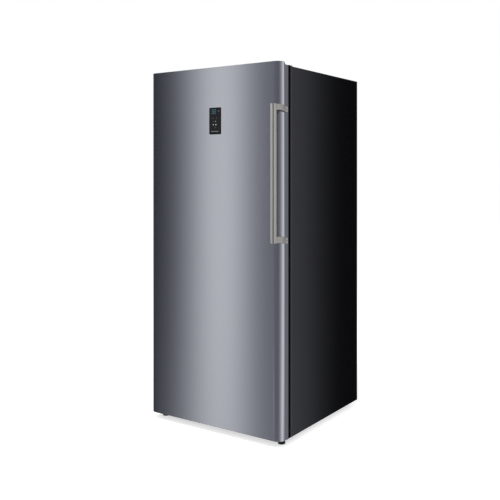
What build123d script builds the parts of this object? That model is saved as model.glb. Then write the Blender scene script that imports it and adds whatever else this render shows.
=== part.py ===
from build123d import *
import os
from math import radians, sqrt, tan

os.makedirs("parts", exist_ok=True)

# Upright refrigerator with one door, hinged on its left, and a bar handle on its right.
# Millimetres, +Z up, the door faces -Y. The origin is on the floor, under the middle of
# the whole outline from the front of the handle to the back of the cabinet.

# Outline of the cabinet and the door
cabinet_width = 698
cabinet_depth = 609
cabinet_bottom = 28
cabinet_top = 1549
cabinet_edge_radius = 3
door_foot_rise = 1
door_front_rise = 13
door_rear_rise = 1.5
door_depth = 66
door_corner_radius = 32
door_lip_depth = 24.5
gasket_gap = 14
handle_reach = 46
sheet = 0.8
running_gap = 0.3

# Insulation and liner
side_wall = 58
top_wall = 58
floor_wall = 60
back_wall = 50
liner_wall = 1.5
liner_radius = 12
front_flange = 30
hump_depth = 228
hump_height = 212

# Machine compartment behind the hump
compartment_wall = 55
compartment_roof = 50
base_bend_radius = 6
base_shoulder_radius = 40

# Shelves and drawers
shelf_levels = [512, 752, 990, 1228]
shelf_front_gap = 116
shelf_side_gap = 3
shelf_thickness = 12
shelf_trim_height = 22
glass_thickness = 4
rib_width = 11
rib_height = 7
drawer_wall = 2.4
drawer_side_gap = 18
drawer_draft = 2

# Air duct cover in front of the evaporator
duct_depth = 56
duct_column_depth = 10
duct_column_half = 110
duct_half = 270
duct_wall = 2.5
duct_top_gap = 51

# Door interior
dyke_clearance = 8
dyke_reach = 32
dyke_width = 26
door_panel_depth = 7
gasket_inset = 15
gasket_width = 16
rack_levels = [128, 396, 664, 928, 1196]
rack_depths = [76, 76, 107, 107, 107]
rack_heights = [92, 84, 84, 84, 72]
rack_wall = 2.2

# Door hinge
hinge_inset = 14
hinge_setback = 34
pin_radius = 5
pin_clearance = 0.1
hinge_plate = 3

# Handle
handle_length = 560
handle_foot = 827
handle_bar_width = 17
handle_bar_depth = 23
handle_bar_inset = 11
handle_groove = 4.5
handle_mount_height = 24
handle_mount_proud = 6
handle_mount_end = 53

# Display window
display_width = 63.5
display_height = 114
display_from_side = 328
display_below_top = 229.5
display_corner = 5
display_thickness = 1.2

# Feet and rollers
foot_inset = 37
foot_ahead = 12
foot_radius = 15
foot_height = 11
stem_radius = 5
boss_radius = 11
boss_height = 8
roller_radius = 18
roller_width = 20
roller_inset = 49
roller_from_back = 38
axle_radius = 3

# Places worked out from the sizes above
overall_depth = handle_reach + door_depth + gasket_gap + cabinet_depth
door_front_y = handle_reach - overall_depth / 2
door_rear_y = door_front_y + door_depth
cabinet_front_y = door_rear_y + gasket_gap
cabinet_back_y = cabinet_front_y + cabinet_depth
half_width = cabinet_width / 2
inner_half = half_width - side_wall
door_bottom = cabinet_bottom + door_foot_rise
door_top = cabinet_top + door_front_rise
door_rear_top = cabinet_top + door_rear_rise
inner_floor = cabinet_bottom + floor_wall
inner_top = cabinet_top - top_wall
duct_top = inner_top - duct_top_gap
inner_back_y = cabinet_back_y - back_wall
hump_front_y = inner_back_y - hump_depth
hump_top = inner_floor + hump_height
compartment_front_y = hump_front_y + compartment_wall
compartment_top = hump_top - compartment_roof
mouth_half = half_width - front_flange
mouth_bottom = cabinet_bottom + front_flange
mouth_top = cabinet_top - front_flange
duct_face_y = inner_back_y - duct_depth
shelf_front_y = cabinet_front_y + shelf_front_gap
shelf_back_y = duct_face_y - duct_column_depth - 4
shelf_half = inner_half - shelf_side_gap
hinge_x = hinge_inset - half_width
hinge_y = door_front_y + hinge_setback
foot_x = half_width - foot_inset
foot_y = cabinet_front_y - foot_ahead
roller_x = half_width - roller_inset
roller_y = cabinet_back_y - roller_from_back


def front_plane(y):
    # Upright plane at depth y, drawn as seen from the front, with +X to the right and +Z up.
    return Plane.XZ.offset(-y)


def side_plane(x):
    # Upright plane at width x, drawn with +Y to the right and +Z up.
    return Plane.YZ.offset(x)


def open_tray(x, y, z, width, depth, height, wall, draft, corner):
    # A moulded tray, open above, whose walls lean outwards by draft degrees.
    lean = wall * tan(radians(draft))
    with BuildPart() as tray:
        with BuildSketch(Plane.XY.offset(z)):
            with Locations((x, y)):
                RectangleRounded(width, depth, corner)
        extrude(amount=height, taper=-draft)
        with BuildSketch(Plane.XY.offset(z + wall)):
            with Locations((x, y)):
                RectangleRounded(width - 2 * wall + 2 * lean, depth - 2 * wall + 2 * lean, corner - wall + lean)
        extrude(amount=height, taper=-draft, mode=Mode.SUBTRACT)
    return tray.part


# Outer cabinet

def cabinet_block(inset):
    # The cabinet's outer form, set in from its front, sides and top, open-ended behind and below.
    with BuildPart() as block:
        with BuildSketch(Plane.XY.offset(cabinet_bottom)):
            with Locations((0, (cabinet_front_y + inset + cabinet_back_y) / 2)):
                Rectangle(cabinet_width - 2 * inset, cabinet_depth - inset)
        extrude(amount=cabinet_top - cabinet_bottom - inset)
        front_corners = block.edges().filter_by(Axis.Z).group_by(Axis.Y)[0]
        top_rim = block.faces().sort_by(Axis.Z)[-1].edges().sort_by(Axis.Y)[:-1]
        fillet(front_corners + top_rim, cabinet_edge_radius - inset)
    return block.part


def below_base(lift):
    # Everything under the folded base sheet and behind its step, with the sheet lifted by lift.
    step_y = compartment_front_y - lift
    floor_z = cabinet_bottom + lift
    roof_z = compartment_top + lift
    with BuildPart() as below:
        with BuildSketch(Plane.YZ):
            with BuildLine():
                FilletPolyline(
                    (cabinet_front_y - 1, floor_z),
                    (step_y, floor_z),
                    (step_y, roof_z),
                    (cabinet_back_y + 1, roof_z),
                    radius=[base_bend_radius - lift, base_shoulder_radius + lift],
                )
                Polyline(
                    (cabinet_back_y + 1, roof_z),
                    (cabinet_back_y + 1, cabinet_bottom - 1),
                    (cabinet_front_y - 1, cabinet_bottom - 1),
                    (cabinet_front_y - 1, floor_z),
                )
            make_face()
        extrude(amount=half_width - sheet, both=True)
    return below.part


def cavity(grow):
    # The space inside the liner with its step over the machine compartment, grown by grow.
    with BuildPart() as space:
        with BuildSketch(Plane.YZ):
            with BuildLine():
                Polyline(
                    (cabinet_front_y, inner_floor - grow),
                    (hump_front_y + grow, inner_floor - grow),
                    (hump_front_y + grow, hump_top - grow),
                    (inner_back_y + grow, hump_top - grow),
                    (inner_back_y + grow, inner_top + grow),
                    (cabinet_front_y, inner_top + grow),
                    close=True,
                )
            make_face()
        extrude(amount=inner_half + grow, both=True)
        mouth = space.faces().sort_by(Axis.Y)[0]
        rounded = [edge for edge in space.edges() if edge.center().Y > mouth.center().Y + 1]
        fillet(rounded, liner_radius)
    return space.part


drain_x = 100
drain_y = inner_back_y - 22
drain_radius = 7


def drain_hole(bottom, top, radius):
    with BuildPart() as hole:
        with BuildSketch(Plane.XY.offset(bottom)):
            with Locations((drain_x, drain_y)):
                Circle(radius)
        extrude(amount=top - bottom)
    return hole.part


with BuildPart() as cabinet_wrapper:
    add(cabinet_block(0))
    add(cabinet_block(sheet), mode=Mode.SUBTRACT)
    with BuildSketch(front_plane(cabinet_front_y)):
        with Locations((0, (mouth_bottom + mouth_top) / 2)):
            Rectangle(2 * mouth_half, mouth_top - mouth_bottom)
    extrude(amount=-2 * sheet, mode=Mode.SUBTRACT)
cabinet_wrapper.part.label = "cabinet_wrapper"
export_step(cabinet_wrapper.part, "parts/cabinet_wrapper.step")

with BuildPart() as cabinet_base:
    add(below_base(sheet))
    add(below_base(0), mode=Mode.SUBTRACT)
    with BuildSketch(front_plane(cabinet_front_y + cabinet_edge_radius)):
        Rectangle(2 * cabinet_width, 2 * cabinet_top)
    extrude(amount=10, mode=Mode.SUBTRACT)
    with BuildSketch(front_plane(cabinet_back_y)):
        Rectangle(2 * cabinet_width, 2 * cabinet_top)
    extrude(amount=-10, mode=Mode.SUBTRACT)
    add(drain_hole(compartment_top - 5, compartment_top + 5, drain_radius + running_gap), mode=Mode.SUBTRACT)
cabinet_base.part.label = "cabinet_base"
export_step(cabinet_base.part, "parts/cabinet_base.step")

# The back is one sheet with a shallow pressed field that keeps it flat.
rear_field_margin = 45
rear_field_step = 0.4
rear_gap = 0.9
rear_height = cabinet_top - sheet - rear_gap - compartment_top - sheet
with BuildPart() as rear_panel:
    with BuildSketch(front_plane(cabinet_back_y)):
        with Locations((0, compartment_top + sheet + rear_height / 2)):
            Rectangle(cabinet_width - 2 * sheet - 2 * rear_gap, rear_height)
    extrude(amount=sheet)
    with BuildSketch(front_plane(cabinet_back_y)):
        with Locations((0, compartment_top + sheet + rear_height / 2)):
            RectangleRounded(
                cabinet_width - 2 * rear_field_margin, rear_height - 2 * rear_field_margin, 30
            )
    extrude(amount=rear_field_step, mode=Mode.SUBTRACT)
rear_panel.part.label = "rear_panel"
export_step(rear_panel.part, "parts/rear_panel.step")

with BuildPart() as cabinet_insulation:
    add(cabinet_block(sheet))
    add(below_base(sheet), mode=Mode.SUBTRACT)
    add(cavity(liner_wall), mode=Mode.SUBTRACT)
    with BuildSketch(front_plane(cabinet_front_y + liner_wall)):
        with Locations((0, cabinet_top / 2)):
            Rectangle(2 * cabinet_width, 2 * cabinet_top)
    extrude(amount=10, mode=Mode.SUBTRACT)
    with BuildSketch(front_plane(cabinet_back_y - sheet)):
        with Locations((0, cabinet_top / 2)):
            Rectangle(2 * cabinet_width, 2 * cabinet_top)
    extrude(amount=-10, mode=Mode.SUBTRACT)
    add(drain_hole(compartment_top - 5, hump_top + 5, drain_radius + running_gap), mode=Mode.SUBTRACT)
cabinet_insulation.part.label = "cabinet_insulation"
export_step(cabinet_insulation.part, "parts/cabinet_insulation.step")

# White liner, one vacuum-formed tub with the ribs that carry the shelves and the drawers.
drawer_levels = [inner_floor + 6, hump_top + 6]
drawer_heights = [hump_height - 30, shelf_levels[0] - hump_top - 34]
drawer_rib_levels = [level + height - 8 for level, height in zip(drawer_levels, drawer_heights)]
drawer_back_y = [hump_front_y - 8, duct_face_y - duct_column_depth - 8]
rib_front_y = cabinet_front_y + 92

with BuildPart() as inner_liner:
    add(cavity(liner_wall))
    with BuildSketch(front_plane(cabinet_front_y)):
        with Locations((0, (mouth_bottom + mouth_top) / 2)):
            Rectangle(2 * (mouth_half - running_gap), mouth_top - mouth_bottom - 2 * running_gap)
    extrude(amount=-liner_wall)
    add(cavity(0), mode=Mode.SUBTRACT)
    for side in (-1, 1):
        for level in shelf_levels:
            with BuildSketch(side_plane(side * (inner_half + liner_wall / 2))):
                with Locations(((rib_front_y + shelf_back_y) / 2, level - rib_height / 2)):
                    SlotOverall(shelf_back_y - rib_front_y, rib_height)
            extrude(amount=-side * (rib_width + liner_wall / 2))
        for level, back_y in zip(drawer_rib_levels, drawer_back_y):
            with BuildSketch(side_plane(side * (inner_half + liner_wall / 2))):
                with Locations(((rib_front_y + back_y) / 2, level - rib_height / 2)):
                    SlotOverall(back_y - rib_front_y, rib_height)
            extrude(amount=-side * (rib_width + liner_wall / 2))
    add(drain_hole(hump_top - 5, hump_top + 5, drain_radius + running_gap), mode=Mode.SUBTRACT)
inner_liner.part.label = "inner_liner"
export_step(inner_liner.part, "parts/inner_liner.step")

# Cover of the blank holes at the right of the top, where the hinge would go on a left-handed door.
hole_cover_width = 46
hole_cover_back = 22
hole_cover_front = 9
hole_cover_height = 4
with BuildPart() as hinge_hole_cover:
    with BuildSketch(Plane.XY.offset(cabinet_top)):
        with Locations((half_width - 4 - hole_cover_width / 2,
                        cabinet_front_y + (hole_cover_back - hole_cover_front) / 2)):
            RectangleRounded(hole_cover_width, hole_cover_back + hole_cover_front, 5)
    extrude(amount=hole_cover_height)
    fillet(hinge_hole_cover.faces().sort_by(Axis.Z)[-1].edges(), 1.5)
hinge_hole_cover.part.label = "hinge_hole_cover"
export_step(hinge_hole_cover.part, "parts/hinge_hole_cover.step")

# Ceiling lamp
lamp_width = 130
lamp_depth = 66
lamp_base_height = 8
lamp_lens_height = 9
lamp_y = cabinet_front_y + 150
with BuildPart() as lamp_base:
    with BuildSketch(Plane.XY.offset(inner_top)):
        with Locations((0, lamp_y)):
            RectangleRounded(lamp_width, lamp_depth, 8)
    extrude(amount=-lamp_base_height)
lamp_base.part.label = "lamp_base"
export_step(lamp_base.part, "parts/lamp_base.step")

with BuildPart() as lamp_lens:
    with BuildSketch(Plane.XY.offset(inner_top - lamp_base_height)):
        with Locations((0, lamp_y)):
            RectangleRounded(lamp_width - 6, lamp_depth - 6, 6)
    extrude(amount=-lamp_lens_height)
    fillet(lamp_lens.faces().sort_by(Axis.Z)[0].edges(), 4)
lamp_lens.part.label = "lamp_lens"
export_step(lamp_lens.part, "parts/lamp_lens.step")

# Air duct: one cover with a raised middle column, outlet slots at each shelf and a return grille
slot_height = 6
outlet_width = 70
return_slots = 12
return_pitch = 34
fan_below_shelf = 32
fan_z = shelf_levels[1] - fan_below_shelf
with BuildPart() as duct_cover:
    with BuildSketch(front_plane(duct_face_y)):
        with Locations((0, (hump_top + 1 + duct_top) / 2)):
            Rectangle(2 * duct_half, duct_top - hump_top - 1)
    extrude(amount=-(duct_depth - running_gap))
    with BuildSketch(front_plane(duct_face_y - duct_column_depth)):
        with Locations((0, (hump_top + 60 + duct_top) / 2)):
            Rectangle(2 * duct_column_half, duct_top - hump_top - 60)
    extrude(amount=-(duct_column_depth + 1))
    column_rim = duct_cover.faces().sort_by(Axis.Y)[0].edges()
    chamfer(column_rim, duct_column_depth - 2)
    with BuildSketch(front_plane(duct_face_y + duct_wall)):
        with Locations((0, (hump_top + duct_top) / 2 - duct_wall)):
            Rectangle(2 * (duct_half - duct_wall), duct_top - hump_top)
    extrude(amount=-duct_depth, mode=Mode.SUBTRACT)
    with BuildSketch(front_plane(duct_face_y - duct_column_depth + duct_wall)):
        with Locations((0, (hump_top + 60 + duct_top) / 2)):
            Rectangle(2 * (duct_column_half - 14), duct_top - hump_top - 88)
    extrude(amount=-(duct_column_depth + duct_wall), mode=Mode.SUBTRACT)
    outlet_levels = [level + 150 for level in shelf_levels]
    with BuildSketch(front_plane(duct_face_y - duct_column_depth)):
        for level in outlet_levels:
            with Locations((0, level)):
                with GridLocations(outlet_width + 12, slot_height + 6, 2, 3):
                    Rectangle(outlet_width, slot_height)
    extrude(amount=-2 * duct_wall, mode=Mode.SUBTRACT)
    with BuildSketch(front_plane(duct_face_y)):
        with Locations((0, hump_top + 32)):
            with GridLocations(return_pitch, 1, return_slots, 1):
                Rectangle(slot_height, 36)
    extrude(amount=-2 * duct_wall, mode=Mode.SUBTRACT)
    add(cavity(-running_gap), mode=Mode.INTERSECT)
duct_cover.part.label = "duct_cover"
export_step(duct_cover.part, "parts/duct_cover.step")


# Evaporator behind the duct cover

def serpentine(plane, width, pitch, rows, tube_radius):
    # One tube that runs to and fro across the plane, as the points of its centre line.
    points = []
    for row in range(rows):
        ends = [-width / 2, width / 2] if row % 2 == 0 else [width / 2, -width / 2]
        for end in ends:
            points.append((end, row * pitch))
    with BuildPart() as coil:
        with BuildLine(plane) as route:
            FilletPolyline(*points, radius=pitch / 2 - 0.1)
        with BuildSketch(Plane(origin=route.line @ 0, z_dir=route.line % 0)):
            Circle(tube_radius)
        sweep()
    return coil.part


evaporator_y = inner_back_y - 24
evaporator_bottom = hump_top + 82
evaporator_half = 190
evaporator_pitch = 34
evaporator_rows = 6
evaporator_fins = 15
fin_depth = 34
evaporator_plane = front_plane(evaporator_y).shift_origin(front_plane(evaporator_y).from_local_coords((0, evaporator_bottom)))
with BuildPart() as evaporator:
    add(serpentine(evaporator_plane, 2 * evaporator_half, evaporator_pitch, evaporator_rows, 4))
    fin_height = (evaporator_rows - 1) * evaporator_pitch + 20
    with BuildSketch(front_plane(evaporator_y - fin_depth / 2)):
        with Locations((0, evaporator_bottom - 10 + fin_height / 2)):
            with GridLocations(2 * (evaporator_half - 30) / (evaporator_fins - 1), 1, evaporator_fins, 1):
                Rectangle(0.8, fin_height)
    extrude(amount=-fin_depth)
    # End plates carry the coil on the back of the liner.
    with BuildSketch(front_plane(evaporator_y - fin_depth / 2)):
        with Locations((0, evaporator_bottom - 10 + fin_height / 2)):
            with GridLocations(2 * (evaporator_half - 24), 1, 2, 1):
                Rectangle(1.5, fin_height)
    extrude(amount=-(fin_depth / 2 + inner_back_y - evaporator_y - running_gap))
evaporator.part.label = "evaporator"
export_step(evaporator.part, "parts/evaporator.step")

heater_z = hump_top + 46
with BuildPart() as defrost_heater:
    with BuildSketch(side_plane(-evaporator_half)):
        with Locations((evaporator_y, heater_z)):
            Circle(5)
    extrude(amount=2 * evaporator_half)
    with BuildSketch(side_plane(0)):
        with Locations((evaporator_y + (inner_back_y - evaporator_y) / 2, heater_z)):
            Rectangle(inner_back_y - evaporator_y - 2 * running_gap, 8)
    extrude(amount=6, both=True)
defrost_heater.part.label = "defrost_heater"
export_step(defrost_heater.part, "parts/defrost_heater.step")

trough_z = hump_top + 14
trough_half = evaporator_half + 20
with BuildPart() as drain_trough:
    with BuildSketch(Plane.XY.offset(trough_z + 18)):
        with Locations((0, evaporator_y - 2)):
            Rectangle(2 * trough_half, 38)
    extrude(amount=-18, taper=14)
    offset(amount=-1.5, openings=drain_trough.faces().sort_by(Axis.Z)[-1])
    add(drain_hole(cabinet_bottom + 36, trough_z + 1, drain_radius))
    add(drain_hole(cabinet_bottom + 30, trough_z + 5, drain_radius - 1.5), mode=Mode.SUBTRACT)
drain_trough.part.label = "drain_trough"
export_step(drain_trough.part, "parts/drain_trough.step")


# Fans

def fan_wheel(hub_radius, tip_radius, hub_length, blade_count, chord, pitch_angle, bore_radius):
    # Axial fan about the Z axis: a hub with a bore and swept blades twisted from root to tip.
    sweep_back = 6
    tip_plane_x = sqrt(tip_radius ** 2 - (chord / 2 + sweep_back) ** 2)
    with BuildPart() as blade:
        with BuildSketch(Plane(origin=(hub_radius - 2, 0, 0), x_dir=(0, 1, 0), z_dir=(1, 0, 0))):
            Rectangle(chord * 0.62, 2.4, rotation=pitch_angle + 14)
        with BuildSketch(Plane(origin=(tip_plane_x, sweep_back, 0), x_dir=(0, 1, 0), z_dir=(1, 0, 0))):
            Rectangle(chord, 1.6, rotation=pitch_angle)
        loft(ruled=True)
    with BuildPart() as wheel:
        with BuildSketch(Plane.XY):
            Circle(hub_radius)
            Circle(bore_radius, mode=Mode.SUBTRACT)
        extrude(amount=hub_length / 2, both=True)
        with PolarLocations(0, blade_count):
            add(blade.part)
    return wheel.part


fan_shaft_radius = 3
evaporator_fan_y = duct_face_y + 14
with BuildPart() as evaporator_fan:
    wheel = fan_wheel(16, 50, 16, 5, 38, 28, fan_shaft_radius + 0.05)
    with Locations(Plane(origin=(0, evaporator_fan_y, fan_z), z_dir=(0, -1, 0))):
        add(wheel)
evaporator_fan.part.label = "evaporator_fan"
export_step(evaporator_fan.part, "parts/evaporator_fan.step")

fan_motor_front_y = evaporator_fan_y + 12
with BuildPart() as evaporator_fan_motor:
    with BuildSketch(front_plane(fan_motor_front_y)):
        with Locations((0, fan_z)):
            Circle(22)
    extrude(amount=-(inner_back_y - running_gap - fan_motor_front_y))
    with BuildSketch(front_plane(fan_motor_front_y + 8)):
        with Locations((0, fan_z)):
            Rectangle(132, 14)
            Rectangle(14, 60)
    extrude(amount=-4)
    with BuildSketch(front_plane(fan_motor_front_y + 8)):
        with Locations((0, fan_z)):
            with GridLocations(118, 1, 2, 1):
                Rectangle(14, 14)
    extrude(amount=-(inner_back_y - running_gap - fan_motor_front_y - 8))
    with BuildSketch(front_plane(fan_motor_front_y)):
        with Locations((0, fan_z)):
            Circle(fan_shaft_radius)
    extrude(amount=fan_motor_front_y - evaporator_fan_y + 6)
evaporator_fan_motor.part.label = "evaporator_fan_motor"
export_step(evaporator_fan_motor.part, "parts/evaporator_fan_motor.step")

# Machine compartment
tray_top = cabinet_bottom + 2
tray_half = half_width - sheet - running_gap
cheek = 1.5
ear_thickness = 2
machine_front_y = compartment_front_y + running_gap
machine_back_y = cabinet_back_y - 2
machine_mid_y = (compartment_front_y + cabinet_back_y) / 2
with BuildPart() as machine_tray:
    with BuildSketch(Plane.XY.offset(cabinet_bottom)):
        with Locations((0, (machine_front_y + machine_back_y) / 2)):
            Rectangle(2 * tray_half, machine_back_y - machine_front_y)
    extrude(amount=tray_top - cabinet_bottom)
    for side in (-1, 1):
        with BuildSketch(side_plane(side * tray_half)):
            with BuildLine():
                FilletPolyline(
                    (machine_front_y, cabinet_bottom),
                    (machine_front_y, compartment_top - running_gap),
                    (machine_back_y, compartment_top - running_gap),
                    radius=base_shoulder_radius,
                )
                Polyline(
                    (machine_back_y, compartment_top - running_gap),
                    (machine_back_y, cabinet_bottom),
                    (machine_front_y, cabinet_bottom),
                )
            make_face()
        extrude(amount=-side * cheek)
        # Two ears and an axle under the tray hold each rear roller.
        for ear in (-1, 1):
            ear_x = side * roller_x + ear * (roller_width / 2 + 1 + ear_thickness / 2)
            with BuildSketch(side_plane(ear_x)):
                with Locations((roller_y, cabinet_bottom - 8)):
                    Rectangle(26, 20)
                with Locations((roller_y, roller_radius)):
                    Circle(9)
            extrude(amount=ear_thickness / 2, both=True)
        with BuildSketch(side_plane(side * roller_x)):
            with Locations((roller_y, roller_radius)):
                Circle(axle_radius)
        extrude(amount=roller_width / 2 + 1 + ear_thickness, both=True)
        with BuildSketch(Plane.XY.offset(cabinet_bottom)):
            with Locations((side * roller_x, roller_y)):
                Rectangle(roller_width + 2, 2 * roller_radius + 4)
        extrude(amount=tray_top - cabinet_bottom, mode=Mode.SUBTRACT)
machine_tray.part.label = "machine_tray"
export_step(machine_tray.part, "parts/machine_tray.step")

for side, name in ((-1, "rear_roller_left"), (1, "rear_roller_right")):
    with BuildPart() as rear_roller:
        with BuildSketch(side_plane(side * roller_x)):
            with Locations((roller_y, roller_radius)):
                Circle(roller_radius)
                Circle(axle_radius + 0.1, mode=Mode.SUBTRACT)
        extrude(amount=roller_width / 2, both=True)
        chamfer(rear_roller.edges().filter_by(GeomType.CIRCLE).filter_by(
            lambda edge: edge.radius > axle_radius + 1), 1.5)
    rear_roller.part.label = name
    export_step(rear_roller.part, f"parts/{name}.step")

compressor_from_side = 174
compressor_x = compressor_from_side - half_width
compressor_y = machine_mid_y
grommet_height = 12
compressor_plate_z = tray_top + grommet_height
compressor_half_length = 82
compressor_half_depth = 62
compressor_height = 142
compressor_bolt_x = 170
compressor_bolt_y = 100
with BuildPart() as compressor:
    with BuildSketch(Plane.XY.offset(compressor_plate_z)):
        with Locations((compressor_x, compressor_y)):
            RectangleRounded(compressor_bolt_x + 26, compressor_bolt_y + 26, 12)
            with GridLocations(compressor_bolt_x, compressor_bolt_y, 2, 2):
                Circle(5, mode=Mode.SUBTRACT)
    extrude(amount=3)
    with BuildSketch(Plane.XY.offset(compressor_plate_z + 3)):
        with Locations((compressor_x, compressor_y)):
            Ellipse(compressor_half_length, compressor_half_depth)
    extrude(amount=compressor_height)
    shell_ends = compressor.faces().sort_by(Axis.Z)[-1].edges()
    fillet(shell_ends, 36)
    with BuildSketch(Plane.XY.offset(compressor_plate_z + 70)):
        with Locations((compressor_x, compressor_y)):
            Ellipse(compressor_half_length + 3, compressor_half_depth + 3)
    extrude(amount=6)
compressor.part.label = "compressor"
export_step(compressor.part, "parts/compressor.step")

with BuildPart() as compressor_grommets:
    with BuildSketch(Plane.XY.offset(tray_top)):
        with Locations((compressor_x, compressor_y)):
            with GridLocations(compressor_bolt_x, compressor_bolt_y, 2, 2):
                Circle(10)
    extrude(amount=grommet_height)
    with BuildSketch(Plane.XY.offset(compressor_plate_z)):
        with Locations((compressor_x, compressor_y)):
            with GridLocations(compressor_bolt_x, compressor_bolt_y, 2, 2):
                Circle(4.7)
    extrude(amount=5)
compressor_grommets.part.label = "compressor_grommets"
export_step(compressor_grommets.part, "parts/compressor_grommets.step")

with BuildPart() as compressor_relay:
    with BuildSketch(side_plane(compressor_x + compressor_half_length - 14)):
        with Locations((compressor_y, compressor_plate_z + 48)):
            RectangleRounded(52, 36, 5)
    extrude(amount=38)
    with BuildSketch(Plane.XY.offset(compressor_plate_z)):
        with Locations((compressor_x, compressor_y)):
            Ellipse(compressor_half_length + running_gap, compressor_half_depth + running_gap)
    extrude(amount=120, mode=Mode.SUBTRACT)
compressor_relay.part.label = "compressor_relay"
export_step(compressor_relay.part, "parts/compressor_relay.step")

# Condenser fan between the compressor and the condenser, blowing along X
fan_from_compressor = 145
condenser_fan_x = compressor_x + fan_from_compressor
condenser_fan_z = cabinet_bottom + 112
condenser_fan_radius = 68
shroud_half = 84
with BuildPart() as condenser_shroud:
    with BuildSketch(side_plane(condenser_fan_x)):
        with Locations((machine_mid_y, (tray_top + condenser_fan_z + shroud_half) / 2)):
            Rectangle(2 * shroud_half, condenser_fan_z + shroud_half - tray_top)
        with Locations((machine_mid_y, condenser_fan_z)):
            Circle(condenser_fan_radius + 3, mode=Mode.SUBTRACT)
    extrude(amount=9, both=True)
    with BuildSketch(side_plane(condenser_fan_x + 5)):
        with Locations((machine_mid_y, condenser_fan_z)):
            Rectangle(10, 2 * condenser_fan_radius + 10)
            Rectangle(2 * condenser_fan_radius + 10, 10)
    extrude(amount=4)
    with BuildSketch(side_plane(condenser_fan_x + 5)):
        with Locations((machine_mid_y, condenser_fan_z)):
            Circle(24)
    extrude(amount=34)
    with BuildSketch(side_plane(condenser_fan_x + 5)):
        with Locations((machine_mid_y, condenser_fan_z)):
            Circle(fan_shaft_radius)
    extrude(amount=-18)
condenser_shroud.part.label = "condenser_shroud"
export_step(condenser_shroud.part, "parts/condenser_shroud.step")

with BuildPart() as condenser_fan:
    wheel = fan_wheel(20, condenser_fan_radius - 2, 12, 5, 50, 20, fan_shaft_radius + 0.05)
    with Locations(Plane(origin=(condenser_fan_x - 6, machine_mid_y, condenser_fan_z), z_dir=(-1, 0, 0))):
        add(wheel)
condenser_fan.part.label = "condenser_fan"
export_step(condenser_fan.part, "parts/condenser_fan.step")

# The pan fills the floor between the fan's motor and the right roller's bracket.
pan_left = condenser_fan_x + 77
pan_right = roller_x - roller_width / 2 - 17
pan_x = (pan_left + pan_right) / 2
pan_wall = 2
pan_length = pan_right - pan_left
pan_height = 26
with BuildPart() as evaporation_pan:
    add(open_tray(pan_x, machine_mid_y, tray_top, pan_length,
                  cabinet_back_y - compartment_front_y - 24, pan_height, pan_wall, 3, 14))
evaporation_pan.part.label = "evaporation_pan"
export_step(evaporation_pan.part, "parts/evaporation_pan.step")

condenser_y = machine_mid_y - 44
condenser_pitch = 26
condenser_rows = 6
condenser_bottom = tray_top + pan_height + 12
condenser_width = pan_length - 26
with BuildPart() as condenser_coil:
    for row_y in (condenser_y, condenser_y + 36):
        coil_plane = Plane(origin=(pan_x, row_y, condenser_bottom + 10), x_dir=(1, 0, 0), z_dir=(0, -1, 0))
        add(serpentine(coil_plane, condenser_width, condenser_pitch, condenser_rows, 3.2))
    with BuildSketch(front_plane(machine_mid_y - 60)):
        # The end plates stand on the floor of the pan.
        plate_bottom = tray_top + pan_wall + running_gap
        plate_top = condenser_bottom + condenser_rows * condenser_pitch
        with Locations((pan_x, (plate_bottom + plate_top) / 2)):
            with GridLocations(condenser_width - 60, 1, 2, 1):
                Rectangle(1.5, plate_top - plate_bottom)
    extrude(amount=-70)
condenser_coil.part.label = "condenser_coil"
export_step(condenser_coil.part, "parts/condenser_coil.step")

# Discharge tube from the compressor over the fan shroud to the condenser, with the drier on it
tube_z = condenser_fan_z + shroud_half + 9
coil_end_z = condenser_bottom + 10 + (condenser_rows - 1) * condenser_pitch
coil_end_x = pan_x - condenser_width / 2
tube_start = Vector(compressor_x + 20, compressor_y - 20, compressor_plate_z + 3 + compressor_height)
tube_rise = Vector(tube_start.X, tube_start.Y, tube_z)
tube_turn = Vector(coil_end_x - 22, condenser_y, tube_z)
with BuildPart() as refrigerant_tubes:
    with BuildLine() as tube_route:
        FilletPolyline(
            tube_start,
            tube_rise,
            tube_turn,
            (tube_turn.X, condenser_y, coil_end_z),
            (coil_end_x - running_gap, condenser_y, coil_end_z),
            radius=[6, 10, 8],
        )
    with BuildSketch(Plane(origin=tube_route.line @ 0, z_dir=tube_route.line % 0)):
        Circle(2.5)
    sweep()
    drier_start = tube_rise + (tube_turn - tube_rise) * 0.55
    with BuildSketch(Plane(origin=drier_start, z_dir=tube_turn - tube_rise)):
        Circle(6.5)
    extrude(amount=60)
refrigerant_tubes.part.label = "refrigerant_tubes"
export_step(refrigerant_tubes.part, "parts/refrigerant_tubes.step")

with BuildPart() as control_box:
    with BuildSketch(side_plane(cheek - tray_half)):
        with Locations((machine_mid_y, cabinet_bottom + 130)):
            RectangleRounded(150, 120, 6)
    extrude(amount=38)
    chamfer(control_box.faces().sort_by(Axis.X)[-1].edges(), 3)
control_box.part.label = "control_box"
export_step(control_box.part, "parts/control_box.step")

gland_from_side = 64
gland_x = gland_from_side - half_width
gland_z = cabinet_bottom + 26
gland_radius = 10
vent_rows = 8
vent_pitch = 20
with BuildPart() as machine_cover:
    with BuildSketch(front_plane(cabinet_back_y)):
        with Locations((0, (tray_top + compartment_top) / 2)):
            Rectangle(2 * tray_half - 2, compartment_top - tray_top - 2)
    extrude(amount=1.5)
    with BuildSketch(front_plane(cabinet_back_y)):
        with Locations((0, (tray_top + compartment_top) / 2)):
            for vent_x in (-170, 0, 170):
                with Locations((vent_x, 6)):
                    with GridLocations(1, vent_pitch, 1, vent_rows):
                        Rectangle(140, 7)
        with Locations((gland_x, gland_z)):
            Circle(gland_radius)
    extrude(amount=2, mode=Mode.SUBTRACT)
machine_cover.part.label = "machine_cover"
export_step(machine_cover.part, "parts/machine_cover.step")

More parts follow.
